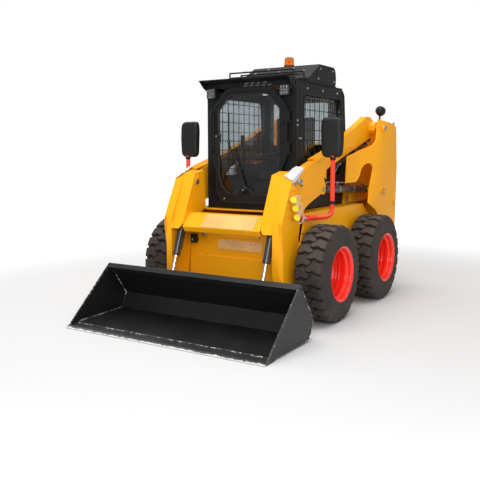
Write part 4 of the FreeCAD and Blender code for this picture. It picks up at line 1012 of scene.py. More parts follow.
def pipe_joints(form):
    run, rise = PIPE_END[0] - PIPE_START[0], PIPE_END[1] - PIPE_START[1]
    for x, drop in ARM_PIPES:
        for share in (0.05, 0.95):
            spot = at(x, PIPE_START[0] + run * share, PIPE_START[1] - drop + rise * share)
            turned(form, [(-22, 7), (-22, 12), (-8, 12), (-7, 13.5), (9, 13.5), (10, 11), (20, 11), (20, 7)],
                   spot, Vector((0, run, rise)), 6, closed=True)


shell("arm_pipes", arm_pipes, PIPE_BLACK, "arms", "iron", both=True)
shell("arm_pipe_joints", pipe_joints, ZINC, "arms", "iron", both=True)
print(2 * len(ARM_PIPES), "pipes along the arms")



# %% [markdown]
# The door is one pressed leaf with a large pane set in a rubber seal. Its outer edge carries a second
# seal that closes on the cab. A grab bar stands on the hinge-less side with a paddle latch below it,
# and one wiper with two parallel arms sweeps the pane from a hub at its foot.

# %% Glass, seals, grab bar and latch
for node in ("door_glass", "cab_windows"):
    eased_solid("pane_" + node, node, GLASS, "glass", 0.8, segments=1)

# Outlines of the pane and of the whole leaf, left of the middle and above the ground.
PANE_EDGE = [(-290, 1140), (-296, 1690), (-285, 1712), (-185, 1822), (-165, 1832), (180, 1832),
             (200, 1822), (305, 1712), (312, 1690), (306, 1140), (296, 1050), (240, 990), (50, 990),
             (20, 1040), (-75, 1040), (-105, 990), (-190, 990), (-256, 1050)]
LEAF_EDGE = [(-358, 1305), (-358, 1700), (-345, 1730), (-213, 1878), (-190, 1886), (213, 1886), (236, 1878),
             (366, 1730), (372, 1700), (372, 1305), (330, 1216), (319, 1014), (268, 926), (240, 912),
             (-240, 912), (-268, 926), (-319, 1014), (-319, 1216)]


GRAB_LEFT = -343
KEY_PLACE = at(-302, -47, 1486)


def ring_at(corners, behind, radius):
    return [at(a, behind, b) for a, b in rounded(corners, radius)]


def door_seals(form):
    loop_bar(form, ring_at(PANE_EDGE, -35.4, 26), 2.4, 8)
    loop_bar(form, ring_at(PANE_EDGE, -25, 26), 8, 6)


def door_edge(form):
    loop_bar(form, ring_at(LEAF_EDGE, -33, 24), 4.5, 1.6)
    # A pressed line runs round the leaf; at the hinges it sinks into the sheet, clear of the arm.
    middle = at(0, -37.8, 1420)
    line = [middle + (spot - middle) * 0.972 for spot in ring_at(LEAF_EDGE, -37.8, 24)]
    loop_bar(form, [spot + BACK * (0.003 if spot.x > 0.22 else 0) for spot in line], 1.6, 3)


def grab_bar(form):
    line = ((-36, 1350), (-76, 1352), (-76, 1692), (-36, 1694))
    bent(form, [at(GRAB_LEFT, behind, up) for behind, up in line], 8.5, 26, 16)
    for up in (1350, 1694):
        turned(form, [(0, 0), (0, 17), (-3, 17), (-5, 14), (-5, 0)], at(GRAB_LEFT, -38.4, up), BACK, 28)


def door_latch(form):
    slab(form, (-322, -262), (-47, -38.3), (1424, 1512), 3)
    cut(form, "front", rounded([(-318, 1428), (-286, 1428), (-280, 1344), (-306, 1338)], 10), -60, -47.2, 3)
    turned(form, [(0, 0), (0, 13), (-6, 12), (-8, 10), (-8, 0)], KEY_PLACE, BACK, 28)


def latch_bright(form):
    turned(form, [(-7.5, 0), (-7.5, 8.5), (-10, 8), (-10.5, 6), (-10.5, 0)], KEY_PLACE, BACK, 24)
    for up in (1502, 1434):
        turned(form, [(0, 0), (0, 4.5), (-2, 4.2), (-3, 2.5), (-3, 0)], at(-272, -47, up), BACK, 16)


shell("door_seals", door_seals, SEAL, "door", "plastic")
shell("door_edge_seal", door_edge, SEAL, "door", "plastic")
shell("door_grab_bar", grab_bar, CAB_BLACK, "door", "cab_black", ("door_handle",))
shell("door_latch", door_latch, SHELL_BLACK, "door", "plastic")
shell("door_latch_key", latch_bright, ZINC, "door", "iron")
print("door pane, seals, grab bar and latch")

# %% [markdown]
# The wiper stands parked, nearly upright. Two thin arms run side by side from the hub to a
# carrier, which holds the blade at its middle, and the blade has three clips and one rubber lip.

# %% Wiper
HUB_LEFT, HUB_HIGH = -26, 1030
WIPER_HUB = at(HUB_LEFT, -38.3, HUB_HIGH)


def wiper_arms(form):
    turned(form, [(0, 0), (0, 34), (-4, 34), (-8, 30), (-16, 22), (-26, 20), (-28, 17), (-28, 0)], WIPER_HUB,
           BACK, 36)
    for side, foot in ((-1, 8), (1, -10)):
        bent(form, [at(HUB_LEFT + 7 * side, -58, HUB_HIGH + foot), at(-160 + 7 * side, -58, 1396 + foot),
                    at(-172 + 5 * side, -55, 1440)], 3.2, 30, 8)
    slab(form, (-186, -158), (-62, -50), (1424, 1452), 3)


def wiper_blade(form):
    bent(form, [at(-176, -52, 1231), at(-176, -52, 1687)], 3.4, sides=8)
    for up in (1300, 1440, 1580):
        slab(form, (-180, -172), (-58, -49), (up - 22, up + 22), 1.5)
    cut(form, "side", [(-50, 1228), (-50, 1690), (-39.5, 1686), (-39.5, 1232)], -177.2, -174.8, 0.4)


def wiper_nuts(form):
    turned(form, [(-27, 0), (-27, 7), (-33, 7), (-34, 5), (-34, 0)], WIPER_HUB, BACK, 6)
    turned(form, [(0, 0), (0, 5.5), (-5, 5), (-6, 3), (-6, 0)], at(-172, -61, 1438), BACK, 16)


shell("wiper_arms", wiper_arms, CAB_BLACK, "door", "plastic", ("wiper",))
shell("wiper_blade", wiper_blade, SEAL, "door", "plastic")
shell("wiper_nuts", wiper_nuts, ZINC, "door", "iron")
print("one wiper with two arms")

# %% [markdown]
# The cab's sheets are bolted together. The bolts in one table are drawn by one loop, each with the
# direction in which its head points. Bright ones are plain zinc and the others were painted over.
# Trim strips, the seals of the side windows and the vents of the visor are made here as well.

# %% Bolts and small steel parts of the cab and the body
BOLTS = [
    # body, finish, left, behind, up, direction, width over the flats
    ("chassis", ZINC, 430, 219, 1876, LEFT, 15), ("chassis", ZINC, 430, 518, 1876, LEFT, 15),
    ("chassis", ZINC, 430, 822, 1876, LEFT, 15), ("chassis", ZINC, 430, 43, 1605, LEFT, 13),
    ("chassis", ZINC, 430, 43, 1568, LEFT, 13), ("chassis", ZINC, 430, 78, 1461, LEFT, 13),
    ("chassis", ZINC, 430, 106, 1461, LEFT, 13), ("door", ZINC, -232, -38, 948, -BACK, 11),
    ("door", CAB_BLACK, 334, -38, 1590, -BACK, 15), ("door", CAB_BLACK, 334, -38, 1430, -BACK, 15),
]
groups = {}
for body, material, x, behind, up, out, across in BOLTS:
    groups.setdefault((body, material.name), (material, []))[1].append((at(x, behind, up), out, across))
    if body == "chassis":
        groups[body, material.name][1].append((at(-x, behind, up), -out, across))
for (body, name), (material, heads) in groups.items():
    shell("bolts_%s_%s" % (body, name), lambda form: [hex_bolt(form, *head) for head in heads],
          material, body, "iron")


def trim_strips(form):
    slab(form, (430.2, 436), (14, 24), (1180, 1872), 1.5)


def window_rims(form):
    # A seal round the opening, and the raised border of the bolted side panel outside it.
    opening = rounded([(158, 1133), (158, 1829), (918, 1829), (952, 1480), (952, 1133)], 46, 6)
    border = rounded([(96, 1010), (96, 1898), (942, 1898), (985, 1862), (1018, 1514), (1018, 1010)], 40, 6)
    for outline in (opening, border):
        loop_bar(form, [at(431, b, up) for b, up in outline], 5, 3.5)


def visor_vents(form):
    for row, (up, shift, count) in enumerate(((1903, 0, 5), (1923, 12, 4))):
        for k in range(count):
            x = -52 + shift + 58 * k
            cut(form, "front", rounded([(x, up - 6), (x + 36, up - 6), (x + 42, up + 1), (x + 38, up + 6),
                                        (x + 4, up + 6)], 5, 3), -13.5, -9.1, 1.6)
            cut(form, "front", [(x + 3, up - 8), (x + 36, up - 8), (x + 38, up - 5.5), (x + 1, up - 5.5)],
                -15.5, -9.1, 0.8)


shell("cab_trim", trim_strips, SHELL_BLACK, "chassis", "cab_black", both=True)
shell("cab_window_rims", window_rims, SEAL, "chassis", "plastic", both=True)
shell("visor_vents", visor_vents, GREY_PLATE, "chassis", "cab_black")
print(len(BOLTS), "kinds of bolt, vents over the door")

# %% [markdown]
# The roof carries a moulded cooling unit whose ends are bolted covers, an amber beacon on a black
# foot, a small hatch on the machine's right and a low rack of bars ahead of the unit.

# %% Roof unit, rack and beacon
UNIT_EDGE = [(243, 1936), (243, 1966), (352, 2034), (458, 2092), (742, 2092), (767, 2074), (783, 2018),
             (777, 1936)]
UNIT_COVER = [(392, 1950), (392, 2040), (468, 2078), (736, 2078), (752, 2062), (766, 2014), (762, 1950)]
UNIT_BOLTS = [(465, 2062), (719, 2062), (420, 1972), (742, 1972)]
ROOF_TOP = 1930.4


def unit_ends(form):
    for x, out in ((433, 1), (-231, -1)):
        loop_bar(form, [at(x, b, up) for b, up in rounded(UNIT_EDGE, 26)], 4.5, 4.5)
        cut(form, "side", rounded(UNIT_COVER, 18), x - 2 * out, x + 1.5 * out, 1.2)


def unit_bolts(form):
    for x, out in ((434.5, 1), (-232.5, -1)):
        bolts(form, [at(x, behind, up) for behind, up in UNIT_BOLTS], LEFT * out, 12)


def unit_flange(form):
    cut(form, "plan", rounded(oblong((-240, 440), (222, 800)), 22), ROOF_TOP, 1935.5, 1.2)
    for x in range(-170, 327, 62):
        slab(form, (x, x + 34), (784, 793), (1950, 2006), 3)


def hatch(form):
    cut(form, "plan", rounded(oblong((-405, -262), (260, 760)), 30), ROOF_TOP, 1944, 4)
    for middle in (330, 690):
        loop = ((-28, 1944), (-28, 1962), (28, 1962), (28, 1944))
        bent(form, [at(-396, middle + step, up) for step, up in loop], 4, 10, 8)


RACK_ENDS, RACK_ROWS, RACK_TOP = (-212, 405), (25, 205), 2018


def roof_rack(form):
    # Two level bars on posts, tied by cross bars, stand over the roof ahead of the unit.
    right, left = RACK_ENDS
    front, rear = RACK_ROWS
    for behind in RACK_ROWS:
        hoop = ((right, 1932), (right, RACK_TOP), (left, RACK_TOP), (left, 1932))
        bent(form, [at(x, behind, up) for x, up in hoop], 6.5, 16, 10)
    for k in range(11):
        x = right + 24 + 53 * k
        cut(form, "side", [(front - 3, 1978), (rear, 1992), (rear, 1998), (front - 3, 1984)], x, x + 28, 0.8)
    for behind, up in ((front, 1981), (rear, 1995)):
        bent(form, [at(right, behind, up), at(left, behind, up)], 4, sides=10)
    for x in RACK_ENDS:
        for behind in RACK_ROWS:
            slab(form, (x - 14, x + 14), (behind - 16, behind + 16), (1930.3, 1935), 1)


def rack_bolts(form):
    bolts(form, [at(x, behind, RACK_TOP + 5) for x in (*RACK_ENDS, -60, 170) for behind in RACK_ROWS], UP, 11)


BEACON_FOOT = at(100, 520, 2102)


def beacon_base(form):
    turned(form, [(-3, 0), (-3, 52), (2, 52), (5, 49), (14, 48), (15.5, 46), (15.5, 0)], BEACON_FOOT, UP, 48)


def beacon_lens(form):
    # Every second corner lies a little further in, which makes the upright ribs of the lens.
    rings = []
    for up, radius in ((15.5, 43), (18, 44), (70, 41.5), (79, 38), (84.5, 30), (86, 18)):
        steps = [(math.cos(a), math.sin(a), radius - 1.6 * (k % 2)) for k, a in enumerate(ring_of(72))]
        rings.append([form.verts.new(BEACON_FOOT + Vector((u * r, v * r, up)) * MM) for u, v, r in steps])
    rings.append([form.verts.new(BEACON_FOOT + UP * (86 * MM))])
    skin(form, rings)
    form.faces.new(rings[0][::-1])


def beacon_heart(form):
    turned(form, [(16, 0), (16, 34), (22, 30), (26, 12), (60, 12), (66, 8), (66, 0)], BEACON_FOOT, UP, 32)


shell("roof_unit_ends", unit_ends, SHELL_BLACK, "chassis", "cab_black")
shell("roof_unit_bolts", unit_bolts, ZINC, "chassis", "iron")
shell("roof_hatch", hatch, SHELL_BLACK, "chassis", "cab_black")
shell("roof_unit_flange", unit_flange, SHELL_BLACK, "chassis", "cab_black")
shell("roof_rack", roof_rack, CAB_BLACK, "chassis", "cab_black")
shell("roof_rack_bolts", rack_bolts, ZINC, "chassis", "iron")
shell("beacon_base", beacon_base, SHELL_BLACK, "chassis", "plastic")
shell("beacon_dome", beacon_lens, AMBER, "chassis", "amber", ("beacon_lens",), sharp=20)
shell("beacon_heart", beacon_heart, AMBER_HEART, "chassis", "amber")
print("roof unit, rack and beacon")

# %% [markdown]
# Two square work lamps hang under the visor. Each has nine small bowls behind one clear pane and a
# finned back. Behind the cab a round head stands on a stalk at each side, and red tail lamps are
# set in the back of the towers.

# %% Work lamps, rear lamps and tail lamps
LAMP_LEFT, LAMP_HIGH, HALF_WIDE, HALF_HIGH = 358, 1849.5, 45, 43.5


def lamp_outline(inward, radius=10):
    wide, high = HALF_WIDE - inward, HALF_HIGH - inward
    return rounded(oblong((LAMP_LEFT - wide, LAMP_LEFT + wide), (LAMP_HIGH - high, LAMP_HIGH + high)), radius)


def lamp_housing(form):
    cut(form, "front", lamp_outline(2), -42, -30, 1.5)
    cut(form, "front", lamp_outline(7, 8), -30, -22, 1.5)
    for k in range(7):
        slab(form, (323 + 11 * k, 327 + 11 * k), (-23, -13), (1818, 1882), 0.8)
    cut(form, "side", [(-36, 1888), (-9.4, 1888), (-9.4, 1901), (-14, 1901), (-16, 1894), (-36, 1894)], 345,
        371, 0.6)


def lamp_bowls(form):
    cut(form, "front", lamp_outline(5, 8), -43, -41.6, 0.4)
    for row in range(3):
        for column in range(3):
            spot = at(LAMP_LEFT + 26 * (column - 1), -43, LAMP_HIGH + 25 * (row - 1))
            turned(form, [(0, 11.4), (0, 12.4), (-5, 12.4), (-5, 11.6), (-0.5, 6), (0, 0), (1, 0)], spot,
                   BACK, 20)
            turned(form, [(0, 0), (0, 4), (-3, 3), (-3.6, 0)], spot, BACK, 12)


def lamp_panes(form):
    cut(form, "front", lamp_outline(4, 8), -51, -49.4, 0.5)


def lamp_bezels(form):
    loop_bar(form, [at(a, -46, b) for a, b in lamp_outline(2)], 5.5, 2.6)


shell("work_lamp_housings", lamp_housing, SHELL_BLACK, "chassis", "plastic", ("work_lamps",), both=True)
shell("work_lamp_bowls", lamp_bowls, BOWL, "chassis", "chrome", both=True)
shell("work_lamp_panes", lamp_panes, LENS, "chassis", "glass", both=True)
shell("work_lamp_bezels", lamp_bezels, SHELL_BLACK, "chassis", "plastic", both=True)


REAR_HEAD, REAR_AIM = at(500, 1712, 1775), Vector((0, 63, -15))


def rear_pots(form):
    turned(form, [(0, 0), (0, 20), (6, 34), (24, 46), (52, 50), (64, 51), (64, 46), (58, 45), (58, 0)],
           REAR_HEAD, REAR_AIM, 40)
    bent(form, [at(500, 1742, 1600), at(500, 1742, 1740)], 9, sides=12)
    slab(form, (476, 524), (1722, 1762), (1598, 1606), 2)


def rear_panes(form):
    turned(form, [(58, 0), (58, 45), (61, 44), (64, 34), (66, 18), (66.5, 0)], REAR_HEAD, REAR_AIM, 40)


def tail_frames(form):
    slab(form, (486, 554), (1800, 1816), (901, 1029), 4)


def tail_panes(form):
    for low, high in ((906, 962), (966, 1024)):
        slab(form, (490, 550), (1815, 1825), (low, high), 3)
        for k in range(5):
            up = low + 8 + 10 * k
            slab(form, (494, 546), (1824, 1827), (up, up + 5), 1.2)


shell("rear_lamp_pots", rear_pots, SHELL_BLACK, "chassis", "plastic", ("rear_lamps",), both=True)
shell("rear_lamp_panes", rear_panes, LENS, "chassis", "glass", both=True)
shell("tail_lamp_frames", tail_frames, SHELL_BLACK, "chassis", "plastic", ("tail_lamps",), both=True)
shell("tail_lamp_panes", tail_panes, LAMP_RED, "chassis", "lamp_red", both=True)
print("two work lamps with nine bowls each, rear and tail lamps")

# %% [markdown]
# A mirror stands out on each side. Its dull moulded back faces forwards, and the glass looks back at
# the driver. A thick red tube carries it: its flattened end is bolted to the body above the front
# wheel, and from there it swings out and then runs straight up.

# %% Mirrors
# The middle of a mirror and its half sizes, left of the machine's middle and above the ground.
MIRROR_MIDDLE, MIRROR_HALF = (706, 1466), (94, 160)
MIRROR_EDGE = rounded([(620, 1304), (792, 1304), (802, 1480), (792, 1626), (622, 1626), (610, 1560)], 52, 8)


def mirror_edge(share_wide, share_high):
    (x, up) = MIRROR_MIDDLE
    return [(x + (a - x) * share_wide, up + (b - up) * share_high) for a, b in MIRROR_EDGE]


def mirror_shells(form):
    # Each ring lies at a depth and is drawn in from the outline by some millimetres.
    rings = []
    for behind, inward in ((128, 5), (134, 3), (134, 0), (112, 0), (101, 3), (93, 9), (88.5, 18), (85, 34),
                           (83.5, 58)):
        edge = mirror_edge(1 - inward / MIRROR_HALF[0], 1 - inward / MIRROR_HALF[1])
        rings.append([form.verts.new(at(x, behind, up)) for x, up in edge])
    capped(form, rings)


def mirror_glass(form):
    cut(form, "front", mirror_edge(0.93, 0.955), 128.2, 131, 0.6)


def mirror_tubes(form):
    bent(form, [at(597, -84, 827), at(616, 16, 822), at(721, 96, 832), at(721, 104, 1318)], 18.5, 72, 20)
    slab(form, (580.4, 590), (-176, -90), (802, 854), 4)
    slab(form, (583, 604), (-104, -70), (806, 848), 8)


def mirror_clamps(form):
    for behind, up in ((103, 1284), (96, 930)):
        turned(form, [(0, 17), (0, 22), (26, 22), (26, 17)], at(721, behind, up), UP, 28, closed=True)


def mirror_bolts(form):
    bolts(form, [at(590, behind, 828) for behind in (-152, -120)], LEFT, 20)


shell("mirror_shells", mirror_shells, SHELL_BLACK, "chassis", "plastic", ("mirrors",), both=True)
shell("mirror_glass", mirror_glass, MIRROR_FACE, "chassis", "chrome", both=True)
shell("mirror_tubes", mirror_tubes, TUBE_RED, "chassis", "mirror_tube_red", ("mirror_brackets",), both=True)
shell("mirror_clamps", mirror_clamps, SHELL_BLACK, "chassis", "plastic", both=True)
shell("mirror_bolts", mirror_bolts, ZINC, "chassis", "iron", both=True)
print("two mirrors on red tubes")

# %% [markdown]
# Every pin of the loader is kept from turning by a flag plate and one bolt. The flags, the turned
# pin heads and the grease nipples are drawn from one table for both sides.

# %% Pins, flag plates and grease nipples
PINS = [
    # body, left, behind, up, pin radius, direction of the flag in degrees, direction of the head
    ("chassis", 671, 1420, 1580, 27, 200, 1), ("chassis", 694, 1345, 988, 19, 20, 1),
    ("arms", 560.4, -250, 1100, 19, 250, 1), ("arms", 560.4, -360, 170, 20, 70, 1),
    ("arms", 560.4, 267, 1038, 19, 100, 1), ("bucket", 471, -540, 300, 16, 120, 1),
    ("arms", 369.6, -250, 1100, 22, 80, -1),
]


def pin_heads(form, body):
    for on, x, behind, up, radius, turn, way in PINS:
        if on == body:
            spot = at(x, behind, up)
            turned(form, [(-3, 0), (-3, radius), (8, radius), (10, radius - 2), (10, 6), (8, 4), (8, 0)],
                   spot, LEFT * way, 32)
            turned(form, [(8, 0), (8, 3.4), (12, 3.4), (13, 2.4), (16, 2.4), (17, 0)], spot, LEFT * way, 10)


def pin_flags(form, body):
    for on, x, behind, up, radius, turn, way in PINS:
        if on == body:
            a = math.radians(turn)
            u, v = math.cos(a), math.sin(a)
            far = radius + 30
            corners = [(behind + u * p - v * q, up + v * p + u * q) for p, q in
                       ((radius - 6, -14), (far, -14), (far + 10, 0), (far, 14), (radius - 6, 14))]
            cut(form, "side", corners, x + 0.6 * way, x + 6.6 * way, 1.2)
            hex_bolt(form, at(x + 6.6 * way, behind + u * (radius + 20), up + v * (radius + 20)), LEFT * way,
                     14)


for body, paint, slot in (("chassis", YELLOW, "yellow"), ("arms", YELLOW, "yellow"),
                          ("bucket", BUCKET_BLACK, "black_paint")):
    shell("pin_heads_" + body, lambda form: pin_heads(form, body), ZINC, body, "iron", both=True)
    shell("pin_flags_" + body, lambda form: pin_flags(form, body), paint, body, slot, both=True)
print(len(PINS), "pins on each side")

# %% [markdown]
# The knees and the tops of the towers still wear the thin white foam in which the machine was
# shipped. Each wrap is one sheet laid over its metal, with creases that come from smooth noise.

# %% Shipping foam
def knee_foam(form):
    # It lies over the sloping top of the knee and folds a little way down the outer face.
    def place(u, v):
        behind = -296 + 196 * u
        ragged = 14 * noise.noise(Vector((u * 5, 0.3, 4.0)))
        inner = Vector((492 + ragged, behind, 1165 + 72 * u))
        outer = Vector((562, behind, 1127 + 95 * u))
        fold = Vector((564, behind + 4, 1116 + 101 * u - 26 * (1 - abs(2 * u - 0.8) / 1.2)))
        share = v * 1.45
        spot = inner.lerp(outer, share) if share < 1 else outer.lerp(fold, (share - 1) / 0.45)
        creases = sum(abs(noise.noise(Vector((behind * fine, v * 90 * fine, 1.7 + fine)))) * high
                      for fine, high in ((0.02, 7), (0.06, 6), (0.13, 4)))
        spot += Vector((0.5 * creases if share > 0.92 else 0, 0, creases if share < 1.05 else 0))
        return at(spot.x, spot.y, spot.z)
    drape(form, place, 64, 34, 1.2)


def tower_foam(form):
    def place(u, v):
        turn = math.radians(-70 + 270 * v)
        wide = 26 + 9 * noise.noise(Vector((u * 4, v * 5, 2.2)))
        wide += 3 * noise.noise(Vector((u * 13, v * 14, 4.2)))
        return at(566 + 92 * u, 1716 + 1.25 * wide * math.cos(turn),
                  1622 + 0.66 * wide * math.sin(turn) + 6 * u)
    drape(form, place, 26, 36, 1.4)


shell("knee_foam", knee_foam, FOAM, "arms", "plastic", both=True, sharp=60)
shell("tower_foam", tower_foam, FOAM, "chassis", "plastic", both=True, sharp=60)
print("foam wraps on both knees and towers")

# %% [markdown]
# The body's own small parts: louvre blades and the latch of the tailgate, raised louvres on the hood,
# round reflectors and bosses on the towers, the weld runs where the axle tubes meet their plates,
# and the bolts in the side skin.

# %% Tailgate, hood and towers
TAIL = 1840
# Bosses on the tower's outer plate: behind, up and the plate's own distance to the left.
TOWER_BOSSES = ((1762, 863, 656), (1386, 983, 681))


def gate_blades(form):
    for k in range(6):
        low = 720 + 60 * k
        for lift in (1, 10, 19):
            up = low + lift
            cut(form, "side", [(TAIL - 33, up), (TAIL - 7, up + 9), (TAIL - 7, up + 11), (TAIL - 33, up + 2)],
                -319, 319, 0.4)


def gate_latch(form):
    cut(form, "front", rounded(oblong((-402, -352), (592, 728)), 12), TAIL - 6, TAIL - 1, 1.2)
    cut(form, "front", rounded([(-394, 640), (-360, 640), (-364, 712), (-390, 712)], 8), TAIL - 3, TAIL + 3,
        1.5)
    turned(form, [(0, 0), (0, 10), (4, 9), (5, 0)], at(-377, TAIL - 2, 618), BACK, 24)


def gate_seal(form):
    outline = rounded(oblong((-404, 404), (344, 1176)), 24)
    loop_bar(form, [at(a, TAIL - 4, b) for a, b in outline], 3.5, 3.5)


def hood_louvres(form):
    # The hood slopes down towards the tail, and each louvre is a low scoop open to the back.
    start, end = Vector((1300, 1400)), Vector((1780, 1200))
    along = (end - start).normalized()
    up = Vector((-along.y, along.x))
    for k in range(9):
        foot = start + along * (60 + 42 * k)
        corners = [foot - up, foot + along * 22 + up * 9, foot + along * 24 + up * 7, foot + along * 24 - up]
        for left, right in ((-260, -20), (20, 260)):
            cut(form, "side", [(p.x, p.y) for p in corners], left, right, 1)


def tower_bosses(form):
    for behind, up, x in TOWER_BOSSES:
        turned(form, [(-6, 0), (-6, 26), (4, 26), (7, 22), (7, 0)], at(x, behind, up), LEFT, 36)
        tongue = ((-12, -52), (12, -52), (10, 2), (-10, 2))
        cut(form, "side", [(behind + a, up + b) for a, b in tongue], x + 5, x + 10, 1)


def tower_boss_bolts(form):
    for behind, up, x in TOWER_BOSSES:
        hex_bolt(form, at(x + 10, behind, up - 40), LEFT, 14)
        turned(form, [(0, 0), (0, 4), (7, 4), (8, 0)], at(x + 6, behind, up + 6), LEFT, 10)


def reflectors(form):
    turned(form, [(0, 0), (0, 30), (4, 30), (6, 27), (6, 0)], at(522, 1800, 1105), BACK, 40)


def axle_welds(form):
    for middle in (0, 1000):
        bead(form, [at(582, middle + 59 * math.cos(a), 386.5 + 59 * math.sin(a))
                    for a in ring_of(48, whole=True)], 3.6, 7)


def skin_bolts(form):
    places = ((560, 640), (316, 742), (1084, 742), (-150, 714))
    bolts(form, [at(580.2, behind, up) for behind, up in places], LEFT, 17)


shell("gate_blades", gate_blades, YELLOW, "tailgate", "yellow")
shell("gate_latch", gate_latch, SHELL_BLACK, "tailgate", "plastic")
shell("gate_seal", gate_seal, SEAL, "tailgate", "plastic")
shell("hood_louvres", hood_louvres, YELLOW, "chassis", "yellow")
shell("tower_bosses", tower_bosses, YELLOW, "chassis", "yellow", both=True)
shell("tower_boss_bolts", tower_boss_bolts, ZINC, "chassis", "iron", both=True)
shell("tail_reflectors", reflectors, LAMP_RED, "chassis", "lamp_red", both=True)
shell("axle_welds", axle_welds, YELLOW, "chassis", "yellow", both=True)
shell("skin_bolts", skin_bolts, ZINC, "chassis", "iron", both=True)
print("tailgate, hood and tower details")

# %% [markdown]
# The front cover has bolts, two plugs and a small bracket, and its open holes are black discs
# that paint the shade inside them. Film from the factory still lies on it in two patches, and another
# strip covers the slanted front of the cross member.
# Behind the cab's side three return pipes run to the towers.

# %% Front cover, films and return pipes
COVER_FACE, FILM_FACE = -190, -196


def cover_bolts(form):
    places = ((-88, 594), (131, 594), (304, 592), (314, 476), (315, 370))
    bolts(form, [at(x, COVER_FACE, up) for x, up in places], -BACK, 17)


# Each open hole is drawn as a black disc with a rim: painted shade of the hole's inside.
def cover_holes(form):
    for x, up in ((-314, 476), (-315, 370), (-304, 592)):
        turned(form, [(-1, 0), (-1, 9), (0.6, 9), (0.6, 7.6), (-0.6, 7), (-0.6, 0)], at(x, COVER_FACE, up),
               -BACK, 20)


def cover_bracket(form):
    slab(form, (-434, -388), (-262, -216), (578, 652), 4)
    slab(form, (-428, -396), (-216, COVER_FACE), (596, 606), 2)


def cover_fittings(form):
    for x, up, big in ((-333, 654, 1.5), (212, 664, 0.8)):
        turned(form, [(0, 0), (0, 14 * big), (10, 14 * big), (12, 11 * big), (20, 11 * big), (26, 8 * big),
                      (27, 0)], at(x, COVER_FACE, up), -BACK, 24)
    hex_bolt(form, at(-412, -262, 606), -BACK, 15)


def film(form, right, left, low, high, lift):
    # low and high are places in the side view, behind the axle and up; the film lies between them.
    out = (Vector(high) - Vector(low)).normalized()

    def place(u, v):
        creases = 0.9 * noise.noise(Vector((u * 17, v * 9, 3.0)))
        creases += 0.5 * noise.noise(Vector((u * 40, v * 25, 8.0)))
        off = 2.6 + 1.6 * lift * abs(creases)
        foot = Vector(low).lerp(Vector(high), v) + Vector((-out.y, out.x)) * off
        return at(right + (left - right) * u, foot.x, foot.y)
    drape(form, place, 60, 16, -0.5)


def return_joints(form):
    for up, far in ((868, 1330), (893, 1300), (918, 1260)):
        bent(form, [at(451, 1010, up - 4), at(451, far, up)], 6, sides=12)
        for behind in (1060, 1180, far - 20):
            turned(form, [(-14, 6), (-14, 9), (14, 9), (14, 6)], at(451, behind, up - 2), BACK, 6,
                   closed=True)


shell("cover_bracket", cover_bracket, SHELL_BLACK, "chassis", "plastic")
shell("cover_bolts", cover_bolts, ZINC, "chassis", "iron")
shell("cover_fittings", cover_fittings, ZINC, "chassis", "iron")
shell("cover_holes", cover_holes, SHELL_BLACK, "chassis", "plastic")
FILMS = [
    # name, finish, body, right and left end, low and high edge, height of the creases
    ("cover_film", FILMED, "chassis", -190, 241, (FILM_FACE, 533), (FILM_FACE, 616), 1.0),
    ("cover_clear_film", FRESH, "chassis", -420, 100, (FILM_FACE, 318), (FILM_FACE, 398), 0.2),
    ("member_film", FILMED, "arms", -186, 306, (-461, 744), (-367, 844), 1.0),
]
for name, material, body, right, left, low, high, lift in FILMS:
    shell(name, lambda form: film(form, right, left, low, high, lift), material, body, "yellow", sharp=60)
shell("return_joints", return_joints, ZINC, "chassis", "iron", both=True)
print("front cover and its film")

# %% [markdown]
# The seat is two foam pads in black vinyl on a plinth. Each pad starts as a block a little smaller
# than its place, is remeshed into an even skin, and is then blown up as cloth so that its sides pull
# in between the corners. Sewn channels and the piping along the edge are added after that.

# %% Seat pads
from mathutils.bvhtree import BVHTree

PADS = [
    # name, node, x, behind, up, whether it lies flat, places of the channels along x
    ("cushion", "seat_cushion", (-230, 230), (420, 900), (1080.3, 1180), True, (-105, 105)),
    ("backrest", "seat_back", (-220, 220), (790, 900), (1180.3, 1700), False, (-100, 100)),
]
# How much smaller a block starts, how far a point may swell, and the cloth's number of steps.
SHRINK, MOST, STEPS = 16, 15, 20
CHANNEL_HALF, CHANNEL_DEEP, PIPING_IN = 14, 6, 20


def swollen(pad):
    """Blows the pad up as cloth and returns where its points ended."""
    cloth = pad.modifiers.new("swell", "CLOTH")
    cloth.settings.use_pressure = True
    cloth.settings.uniform_pressure_force = 4
    cloth.settings.effector_weights.gravity = 0
    cloth.point_cache.frame_start, cloth.point_cache.frame_end = 1, STEPS
    for step in range(1, STEPS + 1):
        bpy.context.scene.frame_set(step)
    solved = pad.evaluated_get(bpy.context.evaluated_depsgraph_get()).to_mesh()
    ends = [corner.co.copy() for corner in solved.vertices]
    pad.modifiers.remove(cloth)
    bpy.context.scene.frame_set(1)
    return ends


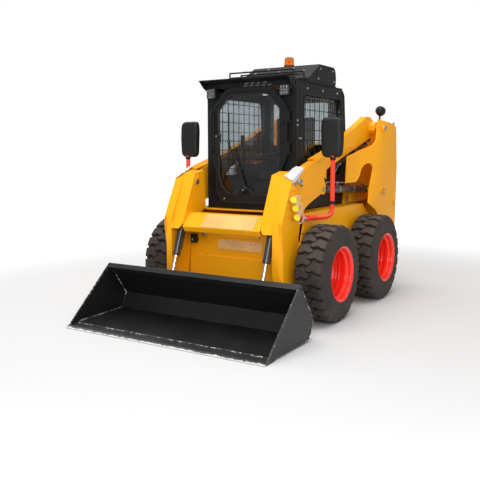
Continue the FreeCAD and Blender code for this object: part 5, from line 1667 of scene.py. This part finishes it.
for name, node, wide, deep, high, flat, channels in PADS:
    low, top = at(wide[0], deep[0], high[0]), at(wide[1], deep[1], high[1])
    form = bmesh.new()
    slab(form, *((a + SHRINK, b - SHRINK) for a, b in (wide, deep, high)), 26)
    mesh = bpy.data.meshes.new("pad_block")
    form.to_mesh(mesh)
    form.free()
    block = bpy.data.objects.new("pad_block", mesh)
    bpy.context.scene.collection.objects.link(block)
    even = block.modifiers.new("even_skin", "REMESH")
    even.mode, even.voxel_size = "VOXEL", 0.008
    skin_mesh = bpy.data.meshes.new_from_object(block.evaluated_get(bpy.context.evaluated_depsgraph_get()))
    block.modifiers.remove(even)
    block.data = skin_mesh
    for corner, end in zip(skin_mesh.vertices, swollen(block)):
        move = end - corner.co
        corner.co += move * min(1, MOST * MM / max(move.length, 1e-9))
    form = bmesh.new()
    form.from_mesh(skin_mesh)
    form.normal_update()
    for corner in form.verts:
        for line in channels:
            near = abs(corner.co.x - line * MM) / (CHANNEL_HALF * MM)
            if near < 1:
                corner.co -= corner.normal * (CHANNEL_DEEP * MM * (1 - near * near) ** 2)
        for axis in range(3):
            corner.co[axis] = min(max(corner.co[axis], low[axis]), top[axis])
    tree = BVHTree.FromBMesh(form)
    made = piece("seat_" + name, form, VINYL, "chassis", "vinyl", (node,), sharp=180)
    made.modifiers.remove(made.modifiers["even_normals"])
    made.modifiers.new("smooth", "SUBSURF").levels = 1
    made.modifiers["smooth"].render_levels = 1
    bpy.data.objects.remove(block)
    # Piping runs along the outline of the face that the driver touches.
    across, along = ((a + PIPING_IN, b - PIPING_IN) for a, b in (wide, deep if flat else high))
    outline = [at(a, b, high[1]) if flat else at(a, deep[0], b)
               for a, b in rounded(oblong(across, along), 50, 8)]
    dense = [a.lerp(b, k / 6) for a, b in zip(outline, outline[1:] + outline[:1]) for k in range(6)]
    shell("seat_piping_" + name,
          lambda form: loop_bar(form, [tree.find_nearest(spot)[0] for spot in dense], 3.2),
          VINYL, "chassis", "vinyl")
    print("seat", name, len(made.data.vertices), "points")
